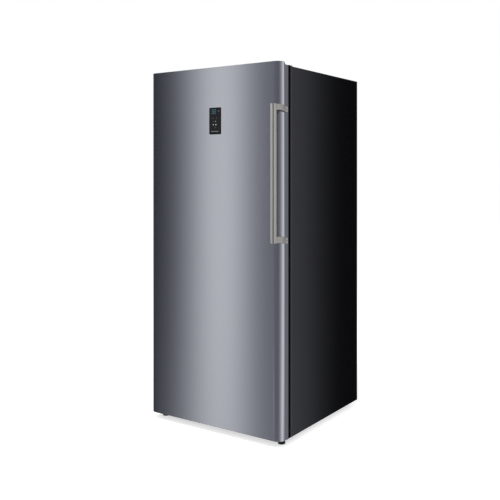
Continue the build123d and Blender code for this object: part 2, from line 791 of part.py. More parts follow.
with BuildPart() as cord_gland:
    with BuildSketch(front_plane(cabinet_back_y)):
        with Locations((gland_x, gland_z)):
            Circle(gland_radius - running_gap)
            Circle(4, mode=Mode.SUBTRACT)
    extrude(amount=10)
    with BuildSketch(front_plane(cabinet_back_y - 1.5 - running_gap)):
        with Locations((gland_x, gland_z)):
            Circle(gland_radius + 3)
            Circle(4, mode=Mode.SUBTRACT)
    extrude(amount=2)
cord_gland.part.label = "cord_gland"
export_step(cord_gland.part, "parts/cord_gland.step")


# Hinge brackets: the lower one stands under the door and carries its weight on the pin
lower_plate_z = cabinet_bottom - hinge_plate
lower_pin_top = door_bottom + 20
bracket_back_y = cabinet_front_y + 90
bracket_half = 30
bracket_x = half_width - 4 - bracket_half


def foot_plate(side):
    # Plate under the front corner of the cabinet, with the threaded boss of the levelling foot.
    with BuildPart() as plate:
        with BuildSketch(Plane.XY.offset(lower_plate_z)):
            with Locations((side * bracket_x, (foot_y - 18 + bracket_back_y) / 2)):
                RectangleRounded(2 * bracket_half, bracket_back_y - foot_y + 18, 6)
        extrude(amount=hinge_plate)
        with BuildSketch(Plane.XY.offset(lower_plate_z - boss_height)):
            with Locations((side * foot_x, foot_y)):
                Circle(boss_radius)
        extrude(amount=boss_height)
    return plate.part


def foot_bore(side):
    with BuildPart() as bore:
        with BuildSketch(Plane.XY.offset(lower_plate_z - boss_height - 1)):
            with Locations((side * foot_x, foot_y)):
                Circle(stem_radius + pin_clearance)
        extrude(amount=boss_height + hinge_plate + 2)
    return bore.part


with BuildPart() as lower_hinge:
    add(foot_plate(-1))
    with BuildSketch(Plane.XY.offset(lower_plate_z)):
        with Locations((hinge_x, hinge_y)):
            Circle(13)
        with Locations((hinge_x + 7, (hinge_y + foot_y) / 2)):
            Rectangle(40, foot_y - hinge_y)
    extrude(amount=hinge_plate)
    with BuildSketch(Plane.XY.offset(lower_plate_z)):
        with Locations((hinge_x, hinge_y)):
            Circle(pin_radius)
    extrude(amount=lower_pin_top - lower_plate_z)
    add(foot_bore(-1), mode=Mode.SUBTRACT)
lower_hinge.part.label = "lower_hinge"
export_step(lower_hinge.part, "parts/lower_hinge.step")

with BuildPart() as foot_bracket:
    add(foot_plate(1))
    add(foot_bore(1), mode=Mode.SUBTRACT)
foot_bracket.part.label = "foot_bracket"
export_step(foot_bracket.part, "parts/foot_bracket.step")

for side, name in ((-1, "front_foot_left"), (1, "front_foot_right")):
    with BuildPart() as front_foot:
        with BuildSketch(Plane.XY):
            with Locations((side * foot_x, foot_y)):
                Circle(foot_radius)
        extrude(amount=foot_height)
        chamfer(front_foot.edges().filter_by(GeomType.CIRCLE).sort_by(Axis.Z)[-1], 2)
        with BuildSketch(Plane.XY.offset(foot_height)):
            with Locations((side * foot_x, foot_y)):
                Circle(stem_radius)
        extrude(amount=cabinet_bottom - running_gap - foot_height)
    front_foot.part.label = name
    export_step(front_foot.part, f"parts/{name}.step")

# Upper hinge: a cranked plate on the cabinet's top, its pin pointing down into the door
crank = 3
upper_pin_length = 22
upper_plate_back_y = cabinet_front_y + 70
with BuildPart() as upper_hinge:
    with BuildSketch(Plane.XY.offset(cabinet_top)):
        with Locations((hinge_x + 30, (cabinet_front_y + 4 + upper_plate_back_y) / 2)):
            RectangleRounded(70, upper_plate_back_y - cabinet_front_y - 4, 6)
    extrude(amount=hinge_plate + 0.01)
    with BuildSketch(Plane.XY.offset(cabinet_top + crank)):
        with Locations((hinge_x, hinge_y)):
            Circle(11)
        with Locations((hinge_x + 8, (hinge_y + cabinet_front_y + 16) / 2)):
            Rectangle(38 - 2 * crank, cabinet_front_y + 16 - hinge_y)
    extrude(amount=hinge_plate)
    with BuildSketch(Plane.XY.offset(cabinet_top + crank)):
        with Locations((hinge_x, hinge_y)):
            Circle(pin_radius)
    extrude(amount=-upper_pin_length)
upper_hinge.part.label = "upper_hinge"
export_step(upper_hinge.part, "parts/upper_hinge.step")

hinge_cover_top = door_top - 1
hinge_cover_left = hinge_x - 7
hinge_cover_right = hinge_x + 70
hinge_cover_back_y = upper_plate_back_y + 8
with BuildPart() as upper_hinge_cover:
    with BuildSketch(Plane.XY.offset(cabinet_top + 2 * crank + 0.2)):
        with BuildLine():
            FilletPolyline(
                (hinge_cover_left, hinge_y - 12),
                (hinge_cover_left, hinge_cover_back_y),
                (hinge_cover_right, hinge_cover_back_y),
                (hinge_cover_right, hinge_y + 30),
                (hinge_cover_left + 32, hinge_y - 12),
                close=True,
                radius=[5, 8, 8, 12, 8],
            )
        make_face()
    extrude(amount=hinge_cover_top - cabinet_top - 2 * crank - 0.2)
    fillet(upper_hinge_cover.faces().sort_by(Axis.Z)[-1].edges(), 2)
    # A skirt behind the door reaches down to the cabinet's top.
    with BuildSketch(Plane.XY.offset(cabinet_top)):
        with Locations(((hinge_cover_left + hinge_cover_right) / 2, hinge_cover_back_y - 3)):
            Rectangle(hinge_cover_right - hinge_cover_left - 16, 4)
    extrude(amount=2 * crank + 0.3)
upper_hinge_cover.part.label = "upper_hinge_cover"
export_step(upper_hinge_cover.part, "parts/upper_hinge_cover.step")

# Shelves: a glass plate in a moulded frame with a rounded front trim
shelf_rail = 20
glass_seat = 6
shelf_mid_y = (shelf_front_y + shelf_back_y) / 2
shelf_depth = shelf_back_y - shelf_front_y
for number, level in enumerate(shelf_levels, start=1):
    shelf_z = level + running_gap
    with BuildPart() as shelf_frame:
        with BuildSketch(Plane.XY.offset(shelf_z)):
            with Locations((0, shelf_mid_y)):
                Rectangle(2 * shelf_half, shelf_depth)
                Rectangle(2 * (shelf_half - shelf_rail), shelf_depth - 2 * shelf_rail, mode=Mode.SUBTRACT)
        extrude(amount=shelf_thickness)
        with BuildSketch(Plane.XY.offset(shelf_z + shelf_thickness - glass_thickness)):
            with Locations((0, shelf_mid_y)):
                Rectangle(2 * (shelf_half - shelf_rail + glass_seat),
                          shelf_depth - 2 * (shelf_rail - glass_seat))
        extrude(amount=glass_thickness, mode=Mode.SUBTRACT)
        with BuildSketch(Plane.XY.offset(shelf_z + shelf_thickness - shelf_trim_height)):
            with Locations((0, shelf_front_y + 3)):
                Rectangle(2 * (shelf_half - rib_width - 2), 6)
        extrude(amount=shelf_trim_height)
        nose = shelf_frame.faces().sort_by(Axis.Y)[0].edges().filter_by(Axis.X)
        fillet(nose, 2.5)
    shelf_frame.part.label = f"shelf_frame_{number}"
    export_step(shelf_frame.part, f"parts/shelf_frame_{number}.step")
    with BuildPart() as shelf_glass:
        with BuildSketch(Plane.XY.offset(shelf_z + shelf_thickness - glass_thickness)):
            with Locations((0, shelf_mid_y)):
                Rectangle(2 * (shelf_half - shelf_rail + glass_seat - 0.1),
                          shelf_depth - 2 * (shelf_rail - glass_seat + 0.1))
        extrude(amount=glass_thickness)
    shelf_glass.part.label = f"shelf_glass_{number}"
    export_step(shelf_glass.part, f"parts/shelf_glass_{number}.step")

# Drawers: moulded bins that hang by their rims on the liner's lowest ribs
drawer_front_y = cabinet_front_y + 124
drawer_names = ["lower_drawer", "upper_drawer"]
for name, level, height, back_y, rib_level in zip(
        drawer_names, drawer_levels, drawer_heights, drawer_back_y, drawer_rib_levels):
    lean = height * tan(radians(drawer_draft))
    bin_depth = back_y - drawer_front_y - 2 * lean - 4
    bin_width = 2 * (inner_half - drawer_side_gap - lean)
    with BuildPart() as drawer:
        add(open_tray(0, drawer_front_y + 4 + lean + bin_depth / 2, level, bin_width, bin_depth,
                      height, drawer_wall, drawer_draft, 16))
        # Side rims rest on the ribs.
        for side in (-1, 1):
            with BuildSketch(Plane.XY.offset(rib_level + running_gap)):
                with Locations((side * (inner_half - 2 - (drawer_side_gap + drawer_wall) / 2),
                                (drawer_front_y + 20 + back_y) / 2)):
                    Rectangle(drawer_side_gap + drawer_wall - 2, back_y - drawer_front_y - 20)
            extrude(amount=drawer_wall)
        # The front has an upright face and a rolled grip along its top.
        with BuildSketch(side_plane(0)):
            with BuildLine():
                Polyline(
                    (drawer_front_y + 2 * lean + 4, level + 2),
                    (drawer_front_y + 4, level + 2),
                    (drawer_front_y + 4, level + height - 22),
                    (drawer_front_y, level + height - 12),
                    (drawer_front_y, level + height + 2),
                    (drawer_front_y + 14, level + height + 2),
                    (drawer_front_y + 14, level + height - 1),
                    (drawer_front_y + 4 + lean, level + height - 1),
                    (drawer_front_y + 4 + lean, level + 10),
                    close=True,
                )
            make_face()
        extrude(amount=inner_half - drawer_side_gap - 4, both=True)
        with BuildSketch(Plane.XY.offset(level + drawer_wall)):
            with Locations((0, drawer_front_y + 4 + lean + bin_depth / 2)):
                RectangleRounded(bin_width - 2 * drawer_wall, bin_depth - 2 * drawer_wall, 13)
        extrude(amount=height - drawer_wall + 5, taper=-drawer_draft, mode=Mode.SUBTRACT)
    drawer.part.label = name
    export_step(drawer.part, f"parts/{name}.step")


# Door

def door_prism(inset, bottom, top):
    # The door's plan between two heights, set in from its front and sides, with round front corners
    depth = door_depth - inset
    with BuildPart() as prism:
        with BuildSketch(Plane.XY.offset(bottom)):
            with Locations((0, door_front_y + inset + depth / 2)):
                Rectangle(cabinet_width - 2 * inset, depth)
        extrude(amount=top - bottom)
        front_corners = prism.edges().filter_by(Axis.Z).group_by(Axis.Y)[0]
        fillet(front_corners, door_corner_radius - inset)
    return prism.part


def over_shoulder(drop):
    # What is cut away behind the raised front lip, where a round shoulder brings the top down
    shoulder = door_top - door_rear_top
    lip = (door_front_y + door_lip_depth, door_top - drop)
    heel = (door_front_y + door_lip_depth + shoulder, door_rear_top - drop)
    with BuildPart() as cut:
        with BuildSketch(side_plane(0)):
            with BuildLine():
                RadiusArc(lip, heel, shoulder)
                Polyline(heel, (door_rear_y + 5, heel[1]), (door_rear_y + 5, door_top + 5),
                         (lip[0], door_top + 5), lip)
            make_face()
        extrude(amount=half_width + 5, both=True)
    return cut.part


cap_height = 20
cap_gap = 0.15
return_flange = 14
pocket_width = 84
pocket_front = 17
with BuildPart() as hinge_pocket:
    # Clear space over the door's hinge corner for the upper hinge and its cover
    with BuildSketch(Plane.XY.offset(door_rear_top)):
        with Locations((-half_width - 5 + (pocket_width + hinge_inset + 5) / 2,
                        (door_front_y + pocket_front + door_rear_y + 5) / 2)):
            Rectangle(pocket_width + hinge_inset + 5, door_rear_y + 5 - door_front_y - pocket_front)
    extrude(amount=door_top - door_rear_top + 5)

display_x = half_width - display_from_side
display_z = door_top - display_below_top
with BuildPart() as door_skin:
    add(door_prism(0, door_bottom, door_top))
    add(door_prism(sheet, door_bottom - 1, door_top + 1), mode=Mode.SUBTRACT)
    add(over_shoulder(0), mode=Mode.SUBTRACT)
    # The sheet's ends are left open for the caps, and its rear edges turn inwards.
    for side in (-1, 1):
        with BuildSketch(Plane.XY.offset(door_bottom)):
            with Locations((side * (half_width - return_flange / 2), door_rear_y - sheet / 2)):
                Rectangle(return_flange, sheet)
        extrude(amount=door_rear_top - 3 - door_bottom)
    with BuildSketch(front_plane(door_front_y)):
        with Locations((display_x, display_z)):
            RectangleRounded(display_width + 0.3, display_height + 0.3, display_corner + 0.15)
    extrude(amount=-2 * sheet, mode=Mode.SUBTRACT)
    add(hinge_pocket.part, mode=Mode.SUBTRACT)
door_skin.part.label = "door_skin"
export_step(door_skin.part, "parts/door_skin.step")


def door_core(bottom, top, inset):
    # What fills the door between two heights, inside the skin and in front of the liner.
    with BuildPart() as core:
        add(door_prism(inset, bottom, top))
        add(over_shoulder(0), mode=Mode.SUBTRACT)
        with BuildSketch(front_plane(door_rear_y - sheet - cap_gap)):
            Rectangle(2 * cabinet_width, 4 * cabinet_top)
        extrude(amount=-10, mode=Mode.SUBTRACT)
    return core.part


def pin_bore(bottom, top):
    with BuildPart() as bore:
        with BuildSketch(Plane.XY.offset(bottom)):
            with Locations((hinge_x, hinge_y)):
                Circle(pin_radius + pin_clearance)
        extrude(amount=top - bottom)
    return bore.part


top_cap_bottom = door_rear_top - cap_height - 6
with BuildPart() as door_top_cap:
    add(door_core(top_cap_bottom, door_top, sheet + cap_gap))
    add(hinge_pocket.part, mode=Mode.SUBTRACT)
    add(pin_bore(cabinet_top + crank - upper_pin_length - 1, door_top), mode=Mode.SUBTRACT)
door_top_cap.part.label = "door_top_cap"
export_step(door_top_cap.part, "parts/door_top_cap.step")

bottom_cap_top = lower_pin_top + 6
with BuildPart() as door_bottom_cap:
    add(door_core(door_bottom, bottom_cap_top, sheet + cap_gap))
    add(pin_bore(door_bottom - 1, lower_pin_top + 1), mode=Mode.SUBTRACT)
door_bottom_cap.part.label = "door_bottom_cap"
export_step(door_bottom_cap.part, "parts/door_bottom_cap.step")

# Inner side of the door: a flat border, a raised dyke that enters the cabinet's mouth, and a panel
dyke_half = inner_half - dyke_clearance
dyke_low = inner_floor + dyke_clearance
dyke_high = inner_top - dyke_clearance
dyke_mid_z = (dyke_low + dyke_high) / 2
dyke_face_y = cabinet_front_y + dyke_reach
panel_y = door_rear_y + door_panel_depth
liner_border = half_width - return_flange - running_gap
liner_face_y = door_rear_y - sheet - cap_gap + liner_wall
border_low = cabinet_bottom + return_flange + running_gap
border_high = cabinet_top - return_flange - running_gap


def dyke_form(shrink):
    # The raised frame on the inner side of the door, with leaning sides, shrunk by shrink.
    with BuildPart() as form:
        with BuildSketch(front_plane(door_rear_y - shrink)):
            with Locations((0, dyke_mid_z)):
                RectangleRounded(2 * (dyke_half - shrink), dyke_high - dyke_low - 2 * shrink, 18 - shrink)
        extrude(amount=-(dyke_face_y - door_rear_y), taper=3)
        with BuildSketch(front_plane(panel_y - shrink)):
            with Locations((0, dyke_mid_z)):
                RectangleRounded(2 * (dyke_half - dyke_width + shrink),
                                 dyke_high - dyke_low - 2 * (dyke_width - shrink), 12 + shrink)
        extrude(amount=-(dyke_face_y - panel_y + 2), mode=Mode.SUBTRACT)
    return form.part


display_pocket_depth = 16
display_pocket_margin = 8
with BuildPart() as door_insulation:
    add(door_core(bottom_cap_top, top_cap_bottom, sheet))
    add(dyke_form(liner_wall))
    with BuildSketch(front_plane(door_front_y)):
        with Locations((display_x, display_z)):
            RectangleRounded(display_width + 2 * display_pocket_margin,
                             display_height + 2 * display_pocket_margin, display_corner)
    extrude(amount=-(display_pocket_depth + sheet), mode=Mode.SUBTRACT)
door_insulation.part.label = "door_insulation"
export_step(door_insulation.part, "parts/door_insulation.step")

hook_width = 8
hook_height = 18
with BuildPart() as door_liner:
    with BuildSketch(front_plane(door_rear_y - sheet - cap_gap)):
        with Locations((0, (border_low + border_high) / 2)):
            Rectangle(2 * liner_border, border_high - border_low)
    extrude(amount=-liner_wall)
    add(dyke_form(0))
    add(dyke_form(liner_wall), mode=Mode.SUBTRACT)
    # Pairs of bosses on the dyke's inner walls carry the racks.
    for side in (-1, 1):
        for level in rack_levels:
            with BuildSketch(front_plane(panel_y - 0.5)):
                with Locations((side * (dyke_half - dyke_width - hook_width / 2 + 0.5), level + 26)):
                    RectangleRounded(hook_width + 1, hook_height, 3)
            extrude(amount=-(dyke_face_y - panel_y - 4))
door_liner.part.label = "door_liner"
export_step(door_liner.part, "parts/door_liner.step")

# Magnetic gasket: a clipped base, a folded bellows and a magnet chamber with rounded corners
gasket_low = cabinet_bottom + gasket_inset
gasket_high = cabinet_top - gasket_inset
gasket_half = half_width - gasket_inset
gasket_mid_z = (gasket_low + gasket_high) / 2
gasket_start_y = liner_face_y
gasket_end_y = cabinet_front_y - running_gap
gasket_layers = [(0, 0), (2.5, 3.5), (0.6, 5.5), (2.5, 7.7), (0, 9.3)]
gasket_steps = [start for narrow, start in gasket_layers[1:]] + [gasket_end_y - gasket_start_y]
with BuildPart() as door_gasket:
    for (narrow, start), stop in zip(gasket_layers, gasket_steps):
        with BuildSketch(front_plane(gasket_start_y + start)):
            with Locations((0, gasket_mid_z)):
                RectangleRounded(2 * (gasket_half - narrow), gasket_high - gasket_low - 2 * narrow, 14)
                inner = gasket_width - narrow
                RectangleRounded(2 * (gasket_half - inner), gasket_high - gasket_low - 2 * inner, 6,
                                 mode=Mode.SUBTRACT)
        extrude(amount=start - stop)
door_gasket.part.label = "door_gasket"
export_step(door_gasket.part, "parts/door_gasket.step")

# Door racks: trays with a low front wall that hook on the bosses
rack_half = dyke_half - dyke_width - hook_width - 1
for number, (level, depth, height) in enumerate(zip(rack_levels, rack_depths, rack_heights), start=1):
    rack_back_y = panel_y + 1
    rack_mid_y = rack_back_y + depth / 2
    lean = height * tan(radians(1.5))
    with BuildPart() as rack:
        add(open_tray(0, rack_mid_y, level, 2 * (rack_half - lean - 1), depth - 2 * lean, height,
                      rack_wall, 1.5, 10))
        # The rim is thickened, and a lug on each end sits on its boss.
        with BuildSketch(Plane.XY.offset(level + height - 6)):
            with Locations((0, rack_mid_y)):
                RectangleRounded(2 * rack_half, depth, 11)
                RectangleRounded(2 * (rack_half - rack_wall - 1.4), depth - 2 * rack_wall - 2.8, 8,
                                 mode=Mode.SUBTRACT)
        extrude(amount=6)
        for side in (-1, 1):
            with BuildSketch(side_plane(side * (rack_half - 3.4))):
                with Locations((rack_back_y + 10, level + 26 + hook_height / 2 + running_gap + 2)):
                    Rectangle(14, 4)
            extrude(amount=side * (hook_width + 1.7))
    rack.part.label = f"door_rack_{number}"
    export_step(rack.part, f"parts/door_rack_{number}.step")

# Handle: a square bar with a rebate along its outer front edge, on two curved mounts
bar_x = half_width - handle_bar_inset
bar_front_y = door_front_y - handle_reach
bar_back_y = bar_front_y + handle_bar_depth
bar_left = bar_x - handle_bar_width / 2
bar_right = bar_x + handle_bar_width / 2
with BuildPart() as handle_bar:
    with BuildSketch(Plane.XY.offset(handle_foot)):
        with BuildLine():
            FilletPolyline(
                (bar_left, bar_front_y),
                (bar_right - handle_groove, bar_front_y),
                (bar_right - handle_groove, bar_front_y + handle_groove),
                (bar_right, bar_front_y + handle_groove),
                (bar_right, bar_back_y),
                (bar_left, bar_back_y),
                close=True,
                radius=[2, 0.8, 0.8, 0.8, 3, 3],
            )
        make_face()
    extrude(amount=handle_length)
handle_bar.part.label = "handle_bar"
export_step(handle_bar.part, "parts/handle_bar.step")

corner_x = half_width - door_corner_radius
corner_y = door_front_y + door_corner_radius
seat_radius = door_corner_radius + 0.2
seat_x = bar_left + 2
seat_y = corner_y - sqrt(seat_radius ** 2 - (seat_x - corner_x) ** 2)
mount_outer = half_width + handle_mount_proud
mount_end_y = door_front_y + handle_mount_end
for name, foot in (("handle_mount_lower", handle_foot),
                   ("handle_mount_upper", handle_foot + handle_length - handle_mount_height)):
    with BuildPart() as handle_mount:
        with BuildSketch(Plane.XY.offset(foot)):
            with BuildLine():
                Line((bar_right - 1, bar_back_y), (seat_x, bar_back_y))
                Line((seat_x, bar_back_y), (seat_x, seat_y))
                RadiusArc((seat_x, seat_y), (corner_x + seat_radius, corner_y), -seat_radius)
                Line((corner_x + seat_radius, corner_y), (corner_x + seat_radius, mount_end_y))
                Line((corner_x + seat_radius, mount_end_y), (mount_outer - 2, mount_end_y))
                Line((mount_outer - 2, mount_end_y), (mount_outer, mount_end_y - 3))
                Line((mount_outer, mount_end_y - 3), (mount_outer, corner_y - 6))
                Spline((mount_outer, corner_y - 6), (bar_right - 1, bar_back_y),
                       tangents=((0, -1), (-0.35, -1)))
            make_face()
        extrude(amount=handle_mount_height)
    handle_mount.part.label = name
    export_step(handle_mount.part, f"parts/{name}.step")

# Display: a black window flush with the front, and the housing with its board behind it
with BuildPart() as display_window:
    with BuildSketch(front_plane(door_front_y)):
        with Locations((display_x, display_z)):
            RectangleRounded(display_width, display_height, display_corner)
    extrude(amount=-display_thickness)
display_window.part.label = "display_window"
export_step(display_window.part, "parts/display_window.step")

with BuildPart() as display_housing:
    with BuildSketch(front_plane(door_front_y + sheet)):
        with Locations((display_x, display_z)):
            RectangleRounded(display_width + 2 * display_pocket_margin - 2 * running_gap,
                             display_height + 2 * display_pocket_margin - 2 * running_gap, display_corner)
    extrude(amount=-(display_pocket_depth - running_gap))
    with BuildSketch(front_plane(door_front_y + sheet)):
        with Locations((display_x, display_z)):
            RectangleRounded(display_width + 0.3, display_height + 0.3, display_corner)
    extrude(amount=-(display_thickness - sheet), mode=Mode.SUBTRACT)
display_housing.part.label = "display_housing"
export_step(display_housing.part, "parts/display_housing.step")
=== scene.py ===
import math
import bmesh
import bpy
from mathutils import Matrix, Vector


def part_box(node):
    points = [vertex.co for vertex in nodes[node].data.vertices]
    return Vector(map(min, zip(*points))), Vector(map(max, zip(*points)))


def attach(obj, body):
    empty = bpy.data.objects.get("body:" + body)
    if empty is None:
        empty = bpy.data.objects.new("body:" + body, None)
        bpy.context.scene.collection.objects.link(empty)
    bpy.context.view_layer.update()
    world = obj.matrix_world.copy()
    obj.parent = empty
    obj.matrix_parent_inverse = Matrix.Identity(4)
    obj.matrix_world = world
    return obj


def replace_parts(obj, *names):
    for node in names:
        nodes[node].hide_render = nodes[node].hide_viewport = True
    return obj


# Upright refrigerator: brushed steel door, gloss black cabinet, square bar handle, white interior.
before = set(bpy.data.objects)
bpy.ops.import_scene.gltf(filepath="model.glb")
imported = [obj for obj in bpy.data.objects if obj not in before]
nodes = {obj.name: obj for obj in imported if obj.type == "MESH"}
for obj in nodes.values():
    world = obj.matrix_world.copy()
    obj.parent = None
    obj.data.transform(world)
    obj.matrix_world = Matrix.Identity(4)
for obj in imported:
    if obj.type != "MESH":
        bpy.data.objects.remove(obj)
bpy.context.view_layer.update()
print("frame loaded:", len(nodes), "nodes")

cameraSettings = {
    "focal": 52.3,          # mm on a 36 mm sensor
    "heading": 34.56,       # degrees round from straight on, towards the handle side
    "distance": 2.908,      # along the view, to the door's front right edge
    "sideways": 0.1218,     # that edge's offset to the right of the view's middle
    "height": 1.1066,       # metres over the floor
    "shift": -0.152,
}

doorLow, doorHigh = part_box("door_skin")


def makeCamera(settings):
    heading = math.radians(settings["heading"])
    along = Vector((-math.sin(heading), math.cos(heading), 0))     # level view direction
    right = Vector((math.cos(heading), math.sin(heading), 0))
    corner = Vector((doorHigh.x, doorLow.y, settings["height"]))
    data = bpy.data.cameras.new("camera")
    data.lens = settings["focal"]
    data.sensor_width = 36
    data.shift_y = settings["shift"]
    camera = bpy.data.objects.new("camera", data)
    camera.location = corner - along * settings["distance"] - right * settings["sideways"]
    camera.rotation_euler = (math.radians(90), 0, heading)
    bpy.context.collection.objects.link(camera)
    bpy.context.scene.camera = camera


makeCamera(cameraSettings)
bpy.context.scene.view_settings.view_transform = "Standard"
print("camera placed")


# Node helpers

def newTree(name, shaderKind):
    material = bpy.data.materials.new(name)
    material.use_nodes = True
    tree = material.node_tree
    tree.nodes.clear()
    output = tree.nodes.new("ShaderNodeOutputMaterial")
    shader = tree.nodes.new(shaderKind)
    tree.links.new(shader.outputs[0], output.inputs["Surface"])
    return material, tree, shader


def newGroup(name, inputs, outputs):
    group = bpy.data.node_groups.new(name, "ShaderNodeTree")
    for label, kind, value in inputs:
        group.interface.new_socket(label, in_out="INPUT", socket_type=kind).default_value = value
    for label, kind in outputs:
        group.interface.new_socket(label, in_out="OUTPUT", socket_type=kind)
    return group, group.nodes.new("NodeGroupInput"), group.nodes.new("NodeGroupOutput")


def setInputs(node, values):
    for label, value in values.items():
        node.inputs[label].default_value = value


def useGroup(tree, group, values):
    node = tree.nodes.new("ShaderNodeGroup")
    node.node_tree = group
    setInputs(node, values)
    return node


def plug(tree, socket, value):
    if hasattr(value, "is_output"):
        tree.links.new(value, socket)
    else:
        socket.default_value = value


def sums(tree, operation, first, second=0.0, clamp=False):
    node = tree.nodes.new("ShaderNodeMath")
    node.operation = operation
    node.use_clamp = clamp
    plug(tree, node.inputs[0], first)
    plug(tree, node.inputs[1], second)
    return node.outputs[0]


def mixColor(tree, factor, first, second):
    node = tree.nodes.new("ShaderNodeMix")
    node.data_type = "RGBA"
    plug(tree, node.inputs["Factor"], factor)
    plug(tree, node.inputs["A"], first)
    plug(tree, node.inputs["B"], second)
    return node.outputs["Result"]


def noiseNode(tree, vector, scale, detail, roughness=0.5):
    node = tree.nodes.new("ShaderNodeTexNoise")
    plug(tree, node.inputs["Vector"], vector)
    plug(tree, node.inputs["Scale"], scale)
    node.inputs["Detail"].default_value = detail
    node.inputs["Roughness"].default_value = roughness
    return node.outputs["Fac"]


def rangeNode(tree, value, low, high):
    node = tree.nodes.new("ShaderNodeMapRange")
    node.interpolation_type = "SMOOTHSTEP"
    plug(tree, node.inputs["Value"], value)
    plug(tree, node.inputs["From Min"], low)
    plug(tree, node.inputs["From Max"], high)
    return node.outputs["Result"]


def bumpNode(tree, height, strength, distance):
    node = tree.nodes.new("ShaderNodeBump")
    node.inputs["Distance"].default_value = distance
    plug(tree, node.inputs["Strength"], strength)
    plug(tree, node.inputs["Height"], height)
    return node.outputs["Normal"]


def objectPlace(tree):
    return tree.nodes.new("ShaderNodeTexCoord").outputs["Object"]


def splitVector(tree, vector):
    node = tree.nodes.new("ShaderNodeSeparateXYZ")
    tree.links.new(vector, node.inputs[0])
    return node.outputs


floatKind, colorKind, vectorKind = "NodeSocketFloat", "NodeSocketColor", "NodeSocketVector"


# Effects that several finishes share

effectPlan = {
    "grain": {"bump": 0.0001, "streakLength": 0.7, "streakPitch": 26.0, "streakShare": 0.2},
    "surface": {"bump": 0.0002},
    "wear": {"gain": 3.0, "patches": (0.35, 0.7)},
    "dust": {"facing": (0.6, 0.95), "patches": (0.3, 0.75), "color": (0.42, 0.4, 0.37, 1), "rough": 0.5},
    "marks": {"smears": (0.45, 0.7)},
}


def makeGrainGroup(plan):
    # Fine lines as brushing leaves on metal, long along X and Y, thin along Z.
    group, entry, leave = newGroup(
        "brushedGrain",
        [("Length", floatKind, 6.0), ("Pitch", floatKind, 900.0), ("Depth", floatKind, 0.1)],
        [("Lines", floatKind), ("Streaks", floatKind), ("Normal", vectorKind)],
    )
    place = splitVector(group, objectPlace(group))
    around = sums(group, "ADD", place["X"], place["Y"])

    def stretched(length, pitch):
        join = group.nodes.new("ShaderNodeCombineXYZ")
        group.links.new(sums(group, "MULTIPLY", around, length), join.inputs["X"])
        group.links.new(sums(group, "MULTIPLY", place["Z"], pitch), join.inputs["Z"])
        return join.outputs[0]

    lines = noiseNode(group, stretched(entry.outputs["Length"], entry.outputs["Pitch"]), 1.0, 4.0, 0.7)
    streaks = noiseNode(group, stretched(plan["streakLength"], plan["streakPitch"]), 1.0, 3.0)
    group.links.new(lines, leave.inputs["Lines"])
    group.links.new(streaks, leave.inputs["Streaks"])
    normal = bumpNode(group, lines, entry.outputs["Depth"], plan["bump"])
    group.links.new(normal, leave.inputs["Normal"])
    return group


def makeSurfaceGroup(plan):
    # Uneven sheen and a faint moulding texture for plastics, paints and foam.
    group, entry, leave = newGroup(
        "surfaceVariation",
        [("Color", colorKind, (0.5, 0.5, 0.5, 1)), ("Shade", floatKind, 0.06),
         ("Roughness", floatKind, 0.4), ("Spread", floatKind, 0.06), ("Scale", floatKind, 40.0),
         ("Fine", floatKind, 900.0), ("Depth", floatKind, 0.1)],
        [("Color", colorKind), ("Roughness", floatKind), ("Normal", vectorKind)],
    )
    place = objectPlace(group)
    centred = sums(group, "SUBTRACT", noiseNode(group, place, entry.outputs["Scale"], 5.0), 0.5)
    shade = sums(group, "MULTIPLY", centred, entry.outputs["Shade"])
    tinted = group.nodes.new("ShaderNodeVectorMath")
    tinted.operation = "SCALE"
    group.links.new(entry.outputs["Color"], tinted.inputs[0])
    group.links.new(sums(group, "ADD", shade, 1.0), tinted.inputs["Scale"])
    group.links.new(tinted.outputs[0], leave.inputs["Color"])
    spread = sums(group, "MULTIPLY", centred, entry.outputs["Spread"])
    rough = sums(group, "ADD", entry.outputs["Roughness"], spread, True)
    group.links.new(rough, leave.inputs["Roughness"])
    fine = noiseNode(group, place, entry.outputs["Fine"], 2.0)
    normal = bumpNode(group, fine, entry.outputs["Depth"], plan["bump"])
    group.links.new(normal, leave.inputs["Normal"])
    return group


def makeWearGroup(plan):
    # Mask of rubbed edges: high where the surface turns within the radius.
    group, entry, leave = newGroup(
        "edgeWear",
        [("Radius", floatKind, 0.001), ("Amount", floatKind, 1.0), ("Scale", floatKind, 60.0)],
        [("Mask", floatKind)],
    )
    rounded = group.nodes.new("ShaderNodeBevel")
    rounded.samples = 4
    group.links.new(entry.outputs["Radius"], rounded.inputs["Radius"])
    flat = group.nodes.new("ShaderNodeNewGeometry")
    turn = group.nodes.new("ShaderNodeVectorMath")
    turn.operation = "DOT_PRODUCT"
    group.links.new(rounded.outputs["Normal"], turn.inputs[0])
    group.links.new(flat.outputs["Normal"], turn.inputs[1])
    edge = sums(group, "SUBTRACT", 1.0, turn.outputs["Value"], True)
    noise = noiseNode(group, objectPlace(group), entry.outputs["Scale"], 4.0)
    broken = rangeNode(group, noise, *plan["patches"])
    worn = sums(group, "MULTIPLY", sums(group, "MULTIPLY", edge, plan["gain"]), broken)
    mask = sums(group, "MULTIPLY", worn, entry.outputs["Amount"], True)
    group.links.new(mask, leave.inputs["Mask"])
    return group


def makeDustGroup(plan):
    # Mask of settled dust: only on surfaces that face up, in soft patches.
    group, entry, leave = newGroup(
        "settledDust",
        [("Amount", floatKind, 0.3), ("Scale", floatKind, 14.0)],
        [("Mask", floatKind)],
    )
    normal = group.nodes.new("ShaderNodeNewGeometry").outputs["Normal"]
    upward = rangeNode(group, splitVector(group, normal)["Z"], *plan["facing"])
    noise = noiseNode(group, objectPlace(group), entry.outputs["Scale"], 6.0, 0.65)
    settled = sums(group, "MULTIPLY", upward, rangeNode(group, noise, *plan["patches"]))
    mask = sums(group, "MULTIPLY", settled, entry.outputs["Amount"], True)
    group.links.new(mask, leave.inputs["Mask"])
    return group


